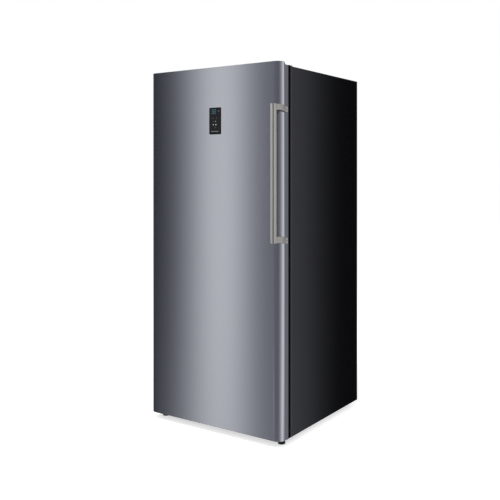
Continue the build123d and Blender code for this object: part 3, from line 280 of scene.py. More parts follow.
def makeMarksGroup(plan):
    # Mask of handling marks: smears round a point, fading out with distance.
    group, entry, leave = newGroup(
        "handMarks",
        [("Centre", vectorKind, (0.0, 0.0, 1.0)), ("Reach", floatKind, 0.3), ("Scale", floatKind, 18.0)],
        [("Mask", floatKind)],
    )
    place = objectPlace(group)
    away = group.nodes.new("ShaderNodeVectorMath")
    away.operation = "DISTANCE"
    group.links.new(place, away.inputs[0])
    group.links.new(entry.outputs["Centre"], away.inputs[1])
    share = sums(group, "DIVIDE", away.outputs["Value"], entry.outputs["Reach"])
    near = sums(group, "SUBTRACT", 1.0, share, True)
    noise = noiseNode(group, place, entry.outputs["Scale"], 5.0, 0.6)
    mask = sums(group, "MULTIPLY", near, rangeNode(group, noise, *plan["smears"]))
    group.links.new(mask, leave.inputs["Mask"])
    return group


grainGroup = makeGrainGroup(effectPlan["grain"])
surfaceGroup = makeSurfaceGroup(effectPlan["surface"])
wearGroup = makeWearGroup(effectPlan["wear"])
dustGroup = makeDustGroup(effectPlan["dust"])
marksGroup = makeMarksGroup(effectPlan["marks"])
print("effect groups built")


# Finishes

def brushedMetal(name, look):
    material, tree, shader = newTree(name, "ShaderNodeBsdfPrincipled")
    grain = useGroup(tree, grainGroup, {"Length": look["grainLength"], "Pitch": look["grainPitch"],
                                        "Depth": look["grainDepth"]})
    marks = useGroup(tree, marksGroup, {"Centre": look["marksCentre"], "Reach": look["marksReach"]})
    lines, share = grain.outputs["Lines"], effectPlan["grain"]["streakShare"]
    tone = sums(tree, "ADD", sums(tree, "MULTIPLY", lines, 1 - share),
                sums(tree, "MULTIPLY", grain.outputs["Streaks"], share))
    dark, light = ((*[c * (1 + side * look["grainShade"]) for c in look["color"]], 1) for side in (-1, 1))
    color = mixColor(tree, tone, dark, light)
    if "paintedRimShade" in look:                # the rear rim of the door's side is painted near black: painted shade that widens the dark gap to the cabinet
        paintedRimShade = look["paintedRimShade"]
        start = doorHigh.y - paintedRimShade["width"]
        rim = rangeNode(tree, splitVector(tree, objectPlace(tree))["Y"], start - paintedRimShade["blend"], start)
        color = mixColor(tree, rim, color, paintedRimShade["color"])
    tree.links.new(color, shader.inputs["Base Color"])
    rough = sums(tree, "ADD", sums(tree, "MULTIPLY", lines, look["roughSpread"]),
                 look["roughness"] - look["roughSpread"] / 2)
    rough = sums(tree, "ADD", rough, sums(tree, "MULTIPLY", marks.outputs["Mask"], look["marksRough"]))
    tree.links.new(rough, shader.inputs["Roughness"])
    tree.links.new(grain.outputs["Normal"], shader.inputs["Normal"])
    setInputs(shader, {"Metallic": look["metallic"], "Anisotropic": look["anisotropic"],
                       "Anisotropic Rotation": look["rotation"]})
    tangent = tree.nodes.new("ShaderNodeTangent")
    tangent.direction_type = "RADIAL"
    tangent.axis = "Z"
    tree.links.new(tangent.outputs[0], shader.inputs["Tangent"])
    return material


plainLook = {               # what a finish has where its own row doesn't say
    "shade": 0.06, "spread": 0.06, "scale": 40.0, "fine": 900.0, "depth": 0.08, "wearRadius": 0.0008,
    "metallic": 0.0, "transmission": 0.0, "ior": 1.45, "specular": 0.5,
}


def makeFinish(name, look):
    look = {**plainLook, **look}
    material, tree, shader = newTree(name, "ShaderNodeBsdfPrincipled")
    surface = useGroup(tree, surfaceGroup, {
        "Color": (*look["color"], 1), "Shade": look["shade"], "Roughness": look["roughness"],
        "Spread": look["spread"], "Scale": look["scale"], "Fine": look["fine"], "Depth": look["depth"]})
    color, rough = surface.outputs["Color"], surface.outputs["Roughness"]
    if "wear" in look:
        wear = useGroup(tree, wearGroup, {"Radius": look["wearRadius"], "Amount": look["wear"]})
        color = mixColor(tree, wear.outputs["Mask"], color, (*look["wornColor"], 1))
    if "dust" in look:
        plan = effectPlan["dust"]
        dust = useGroup(tree, dustGroup, {"Amount": look["dust"]})
        color = mixColor(tree, dust.outputs["Mask"], color, plan["color"])
        rough = sums(tree, "ADD", rough, sums(tree, "MULTIPLY", dust.outputs["Mask"], plan["rough"]), True)
    tree.links.new(color, shader.inputs["Base Color"])
    tree.links.new(rough, shader.inputs["Roughness"])
    tree.links.new(surface.outputs["Normal"], shader.inputs["Normal"])
    setInputs(shader, {"Metallic": look["metallic"], "Transmission Weight": look["transmission"],
                       "IOR": look["ior"], "Specular IOR Level": look["specular"]})
    if "glow" in look:
        tree.links.new(color, shader.inputs["Emission Color"])
        shader.inputs["Emission Strength"].default_value = look["glow"]
    return material


doorSteelLook = {
    "color": (0.415, 0.43, 0.468), "metallic": 1.0, "grainShade": 0.06, "grainLength": 5.0,
    "grainPitch": 900.0, "grainDepth": 0.05, "roughness": 0.155, "roughSpread": 0.03,
    "anisotropic": 0.88, "rotation": 0.25,
    "marksCentre": (0.3, -0.3215, 1.1), "marksReach": 0.35, "marksRough": 0.02,
    # painted shade: the rear 6 mm of the door's side is coloured near black where the gap to the cabinet
    # lies in shadow
    "paintedRimShade": {"width": 0.006, "blend": 0.0004, "color": (0.003, 0.003, 0.003, 1)},
}
handleSteelLook = {
    "color": (0.47, 0.465, 0.45), "metallic": 0.55, "grainShade": 0.04, "grainLength": 300.0,
    "grainPitch": 9.0, "grainDepth": 0.05, "roughness": 0.4, "roughSpread": 0.05,
    "anisotropic": 0.3, "rotation": 0.0,
    "marksCentre": (0.338, -0.356, 1.05), "marksReach": 0.3, "marksRough": 0.05,
}
litLook = {"roughness": 0.4, "glow": 1.0, "shade": 0.1, "specular": 0.1}
looks = {
    # cabinet and back
    "blackPaint": {"color": (0.0012, 0.0012, 0.0013), "roughness": 0.06, "spread": 0.02, "depth": 0.0,
                   "scale": 12.0, "ior": 1.8, "dust": 0.04},
    "backPaint": {"color": (0.028, 0.028, 0.031), "roughness": 0.45, "shade": 0.25, "wear": 0.6,
                  "wornColor": (0.12, 0.12, 0.12)},
    "galvanised": {"color": (0.45, 0.46, 0.47), "metallic": 1.0, "roughness": 0.42, "spread": 0.25,
                   "shade": 0.35, "scale": 60.0, "dust": 0.5},
    "foam": {"color": (0.72, 0.6, 0.36), "roughness": 0.8, "depth": 0.4},
    "foamPlug": {"color": (0.14, 0.14, 0.15), "roughness": 0.55},
    # interior
    "whiteLiner": {"color": (0.8, 0.81, 0.81), "roughness": 0.28, "spread": 0.02, "shade": 0.01,
                   "scale": 9.0, "depth": 0.03},
    "whitePart": {"color": (0.79, 0.8, 0.81), "roughness": 0.24, "shade": 0.02, "scale": 9.0,
                  "depth": 0.04},
    "lampLens": {"color": (0.9, 0.91, 0.91), "roughness": 0.3, "transmission": 0.4},
    "shelfGlass": {"color": (0.9, 0.97, 0.95), "roughness": 0.03, "spread": 0.02, "depth": 0.0,
                   "transmission": 1.0, "ior": 1.5},
    "clearPlastic": {"color": (0.93, 0.96, 0.97), "roughness": 0.1, "transmission": 0.82, "ior": 1.4},
    "frostedStrip": {"color": (0.72, 0.8, 0.84), "roughness": 0.35, "shade": 0.05},
    "trimMetal": {"color": (0.6, 0.61, 0.62), "metallic": 0.9, "roughness": 0.34, "shade": 0.1,
                  "scale": 200.0},
    # plastics and rubber
    "blackPlastic": {"color": (0.012, 0.012, 0.013), "roughness": 0.42, "dust": 0.35, "wear": 0.5,
                     "wornColor": (0.05, 0.05, 0.05)},
    "greyPlastic": {"color": (0.09, 0.09, 0.095), "roughness": 0.5, "dust": 0.2, "wear": 0.5,
                    "wornColor": (0.16, 0.16, 0.16)},
    "footPlastic": {"color": (0.008, 0.008, 0.009), "roughness": 0.5, "dust": 0.3},
    "rubber": {"color": (0.006, 0.006, 0.0065), "roughness": 0.6, "depth": 0.2, "specular": 0.1},
    # machine parts and fasteners
    "aluminium": {"color": (0.75, 0.76, 0.77), "metallic": 1.0, "roughness": 0.35, "shade": 0.15},
    "compressorPaint": {"color": (0.01, 0.01, 0.011), "roughness": 0.3, "spread": 0.15, "dust": 0.5,
                        "wear": 0.8, "wornColor": (0.1, 0.09, 0.08)},
    "copper": {"color": (0.72, 0.36, 0.22), "metallic": 1.0, "roughness": 0.3, "shade": 0.3,
               "scale": 90.0},
    "hingeSteel": {"color": (0.03, 0.03, 0.03), "roughness": 0.4, "wear": 0.9,
                   "wornColor": (0.25, 0.25, 0.25)},
    "brightScrew": {"color": (0.78, 0.78, 0.77), "metallic": 0.35, "roughness": 0.3, "shade": 0.1,
                    "scale": 400.0},
    "zinc": {"color": (0.55, 0.56, 0.57), "metallic": 1.0, "roughness": 0.32, "shade": 0.2,
             "scale": 400.0},
    # near-black fill for screw recesses: painted shade in the hollow
    "recess": {"color": (0.004, 0.004, 0.004), "roughness": 0.7},
    # handle's groove, painted dark as shade, and the display
    # painted shade: the groove's floor and wall are coloured dark where the bar's rebate lies in shadow
    "paintedGrooveShade": {"color": (0.16, 0.16, 0.155), "metallic": 0.4, "roughness": 0.5, "shade": 0.1},
    "litSegments": {**litLook, "color": (0.028, 0.08, 0.105)},
    "litIcons": {**litLook, "color": (0.4, 0.4, 0.385)},
    "dimIcons": {**litLook, "color": (0.17, 0.17, 0.18)},
    "faintIcons": {**litLook, "color": (0.07, 0.075, 0.07)},
}
finishes = {name: makeFinish(name, look) for name, look in looks.items()}
finishes["doorSteel"] = brushedMetal("doorSteel", doorSteelLook)
finishes["handleSteel"] = brushedMetal("handleSteel", handleSteelLook)
# the mounts take a darker copy of the handle's steel: painted shade that sets them darker than the bar
finishes["shadedMountSteel"] = brushedMetal("shadedMountSteel", {**handleSteelLook, "color": (0.3, 0.3, 0.29)})

nodeFinish = {
    "doorSteel": ["door_skin"],
    "blackPaint": ["cabinet_wrapper"],
    "backPaint": ["rear_panel", "machine_cover"],
    "galvanised": ["cabinet_base", "machine_tray"],
    "foam": ["cabinet_insulation", "door_insulation"],
    "whiteLiner": ["inner_liner", "duct_cover", "door_liner", "lamp_base"],
    "blackPlastic": ["hinge_hole_cover", "upper_hinge_cover", "compressor_relay", "condenser_shroud",
                     "evaporation_pan", "control_box", "cord_gland", "display_housing",
                     "condenser_fan"],
    "greyPlastic": ["evaporator_fan", "evaporator_fan_motor", "door_top_cap", "door_bottom_cap"],
    "lampLens": ["lamp_lens"],
    "aluminium": ["evaporator", "defrost_heater", "drain_trough"],
    "compressorPaint": ["compressor", "condenser_coil"],
    "rubber": ["compressor_grommets", "door_gasket"],
    "copper": ["refrigerant_tubes"],
    "hingeSteel": ["lower_hinge", "foot_bracket", "upper_hinge"],
    "footPlastic": ["front_foot_left", "front_foot_right", "rear_roller_left", "rear_roller_right"],
    "whitePart": [name for name in nodes if name.startswith("shelf_frame")],
    "shelfGlass": [name for name in nodes if name.startswith("shelf_glass")],
    "clearPlastic": [name for name in nodes if name.endswith("_drawer") or name.startswith("door_rack")],
}


def paint(obj, *names):
    obj.data.materials.clear()
    for name in names:
        obj.data.materials.append(finishes[name])


for finish, names in nodeFinish.items():
    for name in names:
        paint(nodes[name], finish)
print("finishes assigned")


# Mesh helpers

facings = {             # across, up, outwards
    "front": ((1, 0, 0), (0, 0, 1), (0, -1, 0)),
    "back": ((-1, 0, 0), (0, 0, 1), (0, 1, 0)),
    "right": ((0, 1, 0), (0, 0, 1), (1, 0, 0)),
    "top": ((1, 0, 0), (0, 1, 0), (0, 0, 1)),
    "under": ((1, 0, 0), (0, -1, 0), (0, 0, -1)),
}


def placed(origin, facing):
    across, up, out = (Vector(v) for v in facings[facing])
    origin = Vector(origin)
    return lambda u, v, w=0.0: origin + across * u + up * v + out * w


def polar(radius, degrees):
    return radius * math.cos(math.radians(degrees)), radius * math.sin(math.radians(degrees))


def joinRings(bm, lower, upper, slot=0):
    count = max(len(lower), len(upper))
    for i in range(count):
        j = (i + 1) % count
        if len(lower) == 1:
            corners = (lower[0], upper[j], upper[i])
        elif len(upper) == 1:
            corners = (lower[i], lower[j], upper[0])
        else:
            corners = (lower[i], lower[j], upper[j], upper[i])
        bm.faces.new(corners).material_index = slot


def lathe(bm, at, profile, count=24):
    # Turns (radius, height) pairs round the outward axis.
    rings = []
    for radius, height in profile:
        if radius == 0:
            rings.append([bm.verts.new(at(0, 0, height))])
        else:
            rings.append([bm.verts.new(at(*polar(radius, 360 * i / count), height)) for i in range(count)])
    for lower, upper in zip(rings, rings[1:]):
        joinRings(bm, lower, upper)
    return rings


def insetOutline(outline, amount):
    # Each corner of an anticlockwise outline moved inwards along its mitre.
    moved = []
    count = len(outline)
    for i, point in enumerate(outline):
        before = (Vector(point) - Vector(outline[i - 1])).normalized()
        after = (Vector(outline[(i + 1) % count]) - Vector(point)).normalized()
        normal = Vector((-before.y - after.y, before.x + after.x)).normalized()
        mitre = max(0.3, normal.dot(Vector((-before.y, before.x))))    # keeps sharp corners near
        moved.append(tuple(Vector(point) + normal * (amount / mitre)))
    return moved


def stackLayers(bm, at, layers):
    # A closed solid through outlines with the same number of points, each at its level.
    rings = [[bm.verts.new(at(u, v, w)) for u, v in shape] for shape, w in layers]
    for lower, upper in zip(rings, rings[1:]):
        joinRings(bm, lower, upper)
    bm.faces.new(list(reversed(rings[0])))
    bm.faces.new(rings[-1])


def prism(bm, at, outline, low, high, rim):
    # An outline raised from low to high, its upper rim broken by rim.
    stackLayers(bm, at, [(outline, low), (outline, high - rim), (insetOutline(outline, rim), high)])


def softPrism(bm, at, outline, low, high, radius, steps=3):
    # A prism whose edges at both ends are rounded.
    turns = [math.radians(90 * k / steps) for k in range(steps + 1)]
    rims = [(radius * (1 - math.sin(a)), low + radius * (1 - math.cos(a))) for a in turns]
    rims += [(inset, low + high - level) for inset, level in reversed(rims)]
    stackLayers(bm, at, [(insetOutline(outline, inset), level) for inset, level in rims])


def roundCorners(points, radii, steps=4):
    # A closed outline with each corner rounded by its own radius.
    outline = []
    for i, point in enumerate(points):
        corner = Vector(point)
        before = (Vector(points[i - 1]) - corner).normalized() * radii[i]
        after = (Vector(points[(i + 1) % len(points)]) - corner).normalized() * radii[i]
        for k in range(steps + 1):
            t = k / steps
            outline.append(tuple(corner + before * (1 - t) ** 2 + after * t ** 2))
    return outline


def rectangle(width, height):
    return [(x * width / 2, y * height / 2) for x, y in ((-1, -1), (1, -1), (1, 1), (-1, 1))]


def barOutline(start, end, width, point=0.0):
    # A straight stroke; point > 0 gives it the pointed ends of a lit segment.
    a, b = Vector(start), Vector(end)
    along = (b - a).normalized()
    side = Vector((-along.y, along.x)) * width / 2
    if point:
        tip = along * point
        return [tuple(p) for p in (a, a + tip - side, b - tip - side, b, b - tip + side, a + tip + side)]
    return [tuple(p) for p in (a - side, b - side, b + side, a + side)]


def screwHead(bm, at, radius, height, recess="cross"):
    # A domed head; its driving recess is sunk and takes the second material, near black as painted shade.
    dome = [(1.0, 0.0), (1.0, 0.4), (0.94, 0.75), (0.78, 1.0)]         # shares of radius and height
    rings = lathe(bm, at, [(radius * across, height * up) for across, up in dome])
    if recess == "cross":
        arm, half = radius * 0.55, radius * 0.13
        shape = [(arm, -half), (arm, half), (half, half), (half, arm), (-half, arm), (-half, half),
                 (-arm, half), (-arm, -half), (-half, -half), (-half, -arm), (half, -arm), (half, -half)]
    else:
        shape = [polar(radius * 0.5, 60 * k) for k in range(6)]
    mouth = [bm.verts.new(at(u, v, height)) for u, v in shape]
    deep = [bm.verts.new(at(u, v, height * 0.4)) for u, v in shape]
    edges = []
    for ring in (rings[-1], mouth):
        for i, vert in enumerate(ring):
            other = ring[(i + 1) % len(ring)]
            edges.append(bm.edges.get((vert, other)) or bm.edges.new((vert, other)))
    bmesh.ops.triangle_fill(bm, use_beauty=True, use_dissolve=False, edges=edges)
    for face in [f for f in bm.faces if all(v in mouth for v in f.verts)]:
        bm.faces.remove(face)
    joinRings(bm, mouth, deep, 1)
    bm.faces.new(deep).material_index = 1


def makePiece(name, bm, body, slot, *names, smooth=35):
    bmesh.ops.remove_doubles(bm, verts=bm.verts, dist=0.0000005)
    bmesh.ops.recalc_face_normals(bm, faces=bm.faces)
    mesh = bpy.data.meshes.new(name)
    bm.to_mesh(mesh)
    bm.free()
    mesh.shade_smooth()
    mesh.set_sharp_from_angle(angle=math.radians(smooth))
    piece = bpy.data.objects.new(name, mesh)
    bpy.context.collection.objects.link(piece)
    for finish in names:
        mesh.materials.append(finishes[finish])
    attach(piece, body)
    return piece


# Moulded and folded parts get their small edge radii

softening = {"weld": 0.00001, "segments": 2, "angle": 32}
softParts = {               # width in metres
    0.0012: ["door_skin", "door_top_cap", "door_bottom_cap", "upper_hinge_cover", "hinge_hole_cover"],
    0.0009: [name for name in nodes if name.startswith("shelf_frame") or name.startswith("door_rack")
             or name.endswith("_drawer")],
    0.0025: ["duct_cover", "lamp_base", "lamp_lens"],
}


def softenEdges(plan):
    for width, names in softParts.items():
        for name in names:
            weld = nodes[name].modifiers.new("weld", "WELD")
            weld.merge_threshold = plan["weld"]
            bevel = nodes[name].modifiers.new("softEdge", "BEVEL")
            bevel.width = width
            bevel.segments = plan["segments"]
            bevel.limit_method = "ANGLE"
            bevel.angle_limit = math.radians(plan["angle"])
            bevel.harden_normals = True


softenEdges(softening)
print("edges softened")


# Display: lit segments and icons behind the black window

displayPlan = {             # millimetres from the window's upper left corner, across and down
    "proud": 0.12, "sunk": 0.05, "rim": 0.03,
    "digits": "38", "digitLeft": 10.4, "digitTop": 7.5, "digitWidth": 9.6, "digitHeight": 18.5,
    "digitStep": 13.4, "segment": 1.7, "segmentGap": 0.12, "lean": 0.06,
    "bars": {"left": 8.7, "right": 49.0, "down": 101.3, "count": 8, "gap": 0.6},
    "lines": {"bars": 1.7, "faint": 0.55, "dim": 0.7, "bright": 0.75},
}
iconPlan = {                # the middle of each and its sizes
    "ring": {"at": (49.0, 15.0), "radius": 1.7},
    "star": {"at": (19.4, 45.5), "radius": 3.2},
    "fan": {"at": (39.0, 45.5), "radius": 1.5, "hub": 1.6, "blade": 220},
    "drop": {"at": (22.8, 60.0), "radius": 1.9, "tip": 4.1, "shoulder": 0.4},
    "dial": {"at": (33.3, 58.9), "radius": 2.1, "hand": 1.3},
    "lock": {"at": (21.8, 72.8), "width": 2.6, "height": 2.8, "shackle": 1.6, "radius": 0.9},
    "warning": {"at": (35.1, 69.4), "half": 2.5, "height": 4.6, "stem": (1.6, 3.4)},
    "power": {"at": (31.0, 84.6), "radius": 2.4, "open": 60, "stem": (-3.4, -0.6)},
}
segmentSets = {"3": "abgcd", "8": "abcdefg"}
windowLow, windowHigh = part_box("display_window")


def displayAt(u, v, w):
    return Vector((windowLow.x + u / 1000, windowLow.y - w / 1000, windowHigh.z - v / 1000))


def strokes(bm, lines, width, plan):
    def at(u, v, w):
        return displayAt(u, -v, w)

    for line in lines:
        for start, end in zip(line, line[1:]):
            flipped = [(u, -v) for u, v in (start, end)]
            prism(bm, at, barOutline(*flipped, width), -plan["sunk"], plan["proud"], plan["rim"])


def shifted(icon, *points):
    across, down = icon["at"]
    return [(across + u, down + v) for u, v in points]


def arcLine(icon, first, last, steps, shift=(0, 0)):
    # Part of a circle, its angles anticlockwise from the right.
    turned = [polar(icon["radius"], first + (last - first) * k / steps) for k in range(steps + 1)]
    return shifted(icon, *[(shift[0] + u, shift[1] - v) for u, v in turned])


def buildDigits(plan):
    bm = bmesh.new()
    w, h, t = plan["digitWidth"], plan["digitHeight"], plan["segment"]
    ends = {
        "a": ((0, h), (w, h)), "b": ((w, h), (w, h / 2)), "c": ((w, h / 2), (w, 0)), "d": ((0, 0), (w, 0)),
        "e": ((0, 0), (0, h / 2)), "f": ((0, h / 2), (0, h)), "g": ((0, h / 2), (w, h / 2)),
    }

    def at(u, v, z):
        return displayAt(u, plan["digitTop"] + h - v, z)

    for place, digit in enumerate(plan["digits"]):
        left = plan["digitLeft"] + place * plan["digitStep"]
        for segment in segmentSets[digit]:
            start, end = (Vector(p) for p in ends[segment])
            trim = (end - start).normalized() * t * plan["segmentGap"]
            outline = barOutline(start + trim, end - trim, t, t / 2)
            leaning = [(left + u + v * plan["lean"], v) for u, v in outline]
            prism(bm, at, leaning, -plan["sunk"], plan["proud"], plan["rim"])
    makePiece("displayDigits", bm, "door", "display_glass", "litSegments")


def faintLines(icons):
    star, fan, drop, power = (icons[name] for name in ("star", "fan", "drop", "power"))
    spokes = [polar(star["radius"], turn) for turn in (30, 90, 150)]
    lines = [shifted(star, (u, v), (-u, -v)) for u, v in spokes]
    for turn in (0, 120, 240):
        u, v = polar(fan["hub"], turn)
        lines.append(arcLine(fan, turn, turn + fan["blade"], 6, (u, v)))
    tip, side, shoulder = (0, -drop["tip"]), drop["radius"], -drop["shoulder"]
    lines += [shifted(drop, tip, (-side, shoulder)), arcLine(drop, 180, 360, 8),
              shifted(drop, (side, shoulder), tip)]
    gap = power["open"] / 2
    stem = shifted(power, *[(0, v) for v in power["stem"]])
    return lines + [arcLine(power, 90 + gap, 450 - gap, 12), stem]


def dimLines(icons):
    dial = icons["dial"]
    hand = shifted(dial, (0, 0), (dial["hand"], -dial["hand"]))
    return [arcLine(dial, 0, 360, 14), hand, arcLine(icons["ring"], 0, 360, 16)]


def brightLines(icons):
    lock, warning = icons["lock"], icons["warning"]
    half, height = warning["half"], warning["height"]
    body = rectangle(lock["width"], lock["height"])
    return [shifted(lock, *body, body[0]), arcLine(lock, 0, 180, 8, (0, -lock["shackle"])),
            shifted(warning, (0, 0), (half, height), (-half, height), (0, 0)),
            shifted(warning, *[(0, v) for v in warning["stem"]])]


def buildIcons(plan, icons):
    bars, widths = plan["bars"], plan["lines"]
    step = (bars["right"] - bars["left"]) / bars["count"]
    rows = [[(bars["left"] + k * step + bars["gap"], bars["down"]),
             (bars["left"] + (k + 1) * step - bars["gap"], bars["down"])] for k in range(bars["count"])]
    faint, dim, bright = bmesh.new(), bmesh.new(), bmesh.new()
    strokes(faint, faintLines(icons), widths["faint"], plan)
    strokes(dim, rows, widths["bars"], plan)
    strokes(dim, dimLines(icons), widths["dim"], plan)
    strokes(bright, brightLines(icons), widths["bright"], plan)
    makePiece("displayDimIcons", dim, "door", "display_glass", "dimIcons")
    makePiece("displayFaintIcons", faint, "door", "display_glass", "faintIcons")
    makePiece("displayIcons", bright, "door", "display_glass", "litIcons")


windowLook = {
    "border": (0.0025, 0.0025, 0.003, 1), "field": (0.008, 0.0085, 0.0095, 1), "margin": 0.005,
    "blend": 0.0004, "specular": 0.1,
    "surface": {"Roughness": 0.09, "Spread": 0.03, "Scale": 25.0, "Depth": 0.0},
}


def makeWindowFinish(look):
    # Black glass, a shade lighter inside its printed border.
    material, tree, shader = newTree("displayWindow", "ShaderNodeBsdfPrincipled")
    place = splitVector(tree, objectPlace(tree))
    middle, half = (windowLow + windowHigh) / 2, (windowHigh - windowLow) / 2
    masks = []
    for axis, centre, reach in (("X", middle.x, half.x), ("Z", middle.z, half.z)):
        away = sums(tree, "ABSOLUTE", sums(tree, "SUBTRACT", place[axis], centre))
        inner = reach - look["margin"]
        masks.append(rangeNode(tree, away, inner + look["blend"], inner - look["blend"]))
    color = mixColor(tree, sums(tree, "MULTIPLY", *masks), look["border"], look["field"])
    surface = useGroup(tree, surfaceGroup, look["surface"])
    tree.links.new(color, shader.inputs["Base Color"])
    tree.links.new(surface.outputs["Roughness"], shader.inputs["Roughness"])
    shader.inputs["Specular IOR Level"].default_value = look["specular"]
    finishes["displayWindow"] = material
    paint(nodes["display_window"], "displayWindow")


makeWindowFinish(windowLook)
buildDigits(displayPlan)
buildIcons(displayPlan, iconPlan)
print("display lit")


# Fasteners

fasteners = {               # metres
    "panel": {"radius": 0.0034, "height": 0.0001, "inset": 0.011, "across": 4, "up": 6},
    "machine": {"sides": (0.009, 0.235), "rim": 0.008},
    "plug": {"places": ((-0.16, 1.25), (0.16, 1.25), (-0.16, 0.55), (0.16, 0.55)), "sunk": 0.0004,
             "profile": ((0.017, -0.0002), (0.017, 0.0002), (0.0155, 0.0004), (0.006, 0.0004),
                         (0.0045, 0.0002), (0, 0.0002))},
    "hinge": {"radius": 0.0058, "height": 0.0035, "rim": 0.0006, "under": 0.025,
              "places": ((0.302, -0.205), (0.33, -0.205), (0.316, -0.168)),
              "washer": ((0.0085, -0.0002), (0.0085, 0.0006), (0.0075, 0.0009))},
    "cover": {"radius": 0.0034, "height": 0.0008, "fromLeft": 0.022, "fromBack": 0.018},
}


def buildBackScrews(panel, machine):
    low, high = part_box("rear_panel")
    bm = bmesh.new()
    inset, across, up = panel["inset"], panel["across"] - 1, panel["up"] - 1
    columns = [low.x + inset + (high.x - low.x - 2 * inset) * k / across for k in range(across + 1)]
    rows = [low.z + inset + (high.z - low.z - 2 * inset) * k / up for k in range(up + 1)]
    places = [(x, z) for x in columns for z in (rows[0], rows[-1])]
    places += [(x, z) for z in rows[1:-1] for x in (columns[0], columns[-1])]
    for x, z in places:
        screwHead(bm, placed((x, high.y, z), "back"), panel["radius"], panel["height"])
    makePiece("rearPanelScrews", bm, "cabinet", "back_paint", "zinc", "recess")
    low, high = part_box("machine_cover")
    bm = bmesh.new()
    outer, inner = machine["sides"]
    for x in (low.x + outer, low.x + inner, high.x - inner, high.x - outer):
        for z in (low.z + machine["rim"], high.z - machine["rim"]):
            screwHead(bm, placed((x, high.y, z), "back"), panel["radius"], panel["height"])
    makePiece("machineCoverScrews", bm, "cabinet", "back_paint", "zinc", "recess")


def buildFoamPlugs(plug):
    # Moulded caps over the holes where the foam was poured.
    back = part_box("rear_panel")[1].y - plug["sunk"]
    bm = bmesh.new()
    for x, z in plug["places"]:
        lathe(bm, placed((x, back, z), "back"), plug["profile"], 36)
    makePiece("foamPlugs", bm, "cabinet", "black_plastic", "foamPlug")


def buildHingeBolts(bolt):
    for name, side in (("lower_hinge", -1), ("foot_bracket", 1)):
        bm = bmesh.new()
        for x, y in bolt["places"]:
            at = placed((side * x, y, bolt["under"]), "under")
            lathe(bm, at, bolt["washer"])
            hexagon = [polar(bolt["radius"], 60 * k) for k in range(6)]
            prism(bm, at, hexagon, 0.0, bolt["height"], bolt["rim"])
        makePiece(name + "Bolts", bm, "cabinet", "hinge_steel", "zinc")


def buildCoverScrew(screw):
    low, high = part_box("upper_hinge_cover")
    bm = bmesh.new()
    place = (low.x + screw["fromLeft"], high.y - screw["fromBack"], high.z)
    screwHead(bm, placed(place, "top"), screw["radius"], screw["height"])
    makePiece("hingeCoverScrew", bm, "cabinet", "black_plastic", "zinc", "recess")


buildBackScrews(fasteners["panel"], fasteners["machine"])
buildFoamPlugs(fasteners["plug"])
buildHingeBolts(fasteners["hinge"])
buildCoverScrew(fasteners["cover"])
print("fasteners placed")


# Handle: a square bar with a rebate, on mounts that reach round the door's corner

handlePlan = {              # metres
    "lift": 0.0035,         # the bar's foot over the plain solid's
    "grooveWide": 0.0058, "grooveDeep": 0.0027, "barEdge": 0.0006,
    "barRounding": (0.0016, 0.0007, 0.0007, 0.0007, 0.0028, 0.0028),
    "mountHeight": 0.0245, "lowerTaller": 0.001, "mountEdge": 0.0014, "thick": 0.0052,
    "skinRadius": 0.0222, "skinGap": 0.0002,
    "rootInset": 0.002,     # the mount's root starts this far inside the bar's left side
    "tail": 0.047, "tailEnd": 0.0042, "tailCorner": 0.0018,
    "sweep": {"start": 0.004, "pull": 0.017, "bend": (0.003, 0.014), "stop": 0.001},
    "sag": 0.0065, "sagBefore": 0.016, "sagLength": 0.008,     # the drop starts ahead of the turn
    "screwRadius": 0.0031, "screwHeight": 0.0007, "screwGap": 0.006, "screwBack": 0.004,
}
barLow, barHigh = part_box("handle_bar")


def buildHandleBar(plan):
    wallX, floorY = barHigh.x - plan["grooveWide"], barLow.y + plan["grooveDeep"]
    corners = [(barLow.x, barLow.y), (wallX, barLow.y), (wallX, floorY), (barHigh.x, floorY),
               (barHigh.x, barHigh.y), (barLow.x, barHigh.y)]
    outline = roundCorners(corners, plan["barRounding"])
    bm = bmesh.new()
    foot, top = barLow.z + plan["lift"], barHigh.z
    softPrism(bm, lambda u, v, w: Vector((u, v, w)), outline, foot, top, plan["barEdge"])
    near = 0.0001
    for face in bm.faces:            # the rebate's floor and wall take the darker finish: painted shade in the groove
        middle = face.calc_center_median()
        if middle.x > wallX - near and middle.y < floorY + near and abs(face.normal.z) < 0.5:
            face.material_index = 1
    bar = makePiece("handleBar", bm, "door", "handle_steel", "handleSteel", "paintedGrooveShade")
    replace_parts(bar, "handle_bar")


def mountOutline(plan, turnX, turnY, outerX, tailY):
    # Seen from above: round the door's corner, along its side to the tail, and back to the bar.
    radius, end, sweep = plan["skinRadius"], tailY + plan["tailEnd"], plan["sweep"]
    rootX = barLow.x + plan["rootInset"]
    first = math.degrees(math.acos((rootX - turnX) / radius))
    inner = [polar(radius, -first * (1 - k / 8)) for k in range(9)]
    inner = [(turnX + u, turnY + v) for u, v in inner]
    sideX = inner[-1][0]
    steps = [turnY + (tailY - turnY) * k / 5 for k in range(1, 6)]
    outline = inner + [(sideX, y) for y in steps] + [(sideX, end), (outerX - plan["tailCorner"], end),
                                                     (outerX, tailY + plan["tailCorner"])]
    outline += [(outerX, y) for y in reversed(steps[:-1])]
    points = ((outerX, turnY - sweep["start"]), (outerX, turnY - sweep["pull"]),
              (barHigh.x + sweep["bend"][0], barHigh.y + sweep["bend"][1]),
              (barHigh.x - sweep["stop"], barHigh.y))
    for k in range(10):
        t = k / 9
        weights = ((1 - t) ** 3, 3 * t * (1 - t) ** 2, 3 * t * t * (1 - t), t ** 3)
        outline.append(tuple(sum(w * p[axis] for w, p in zip(weights, points)) for axis in (0, 1)))
    outline.append((rootX, barHigh.y))
    return outline[::-1]             # anticlockwise


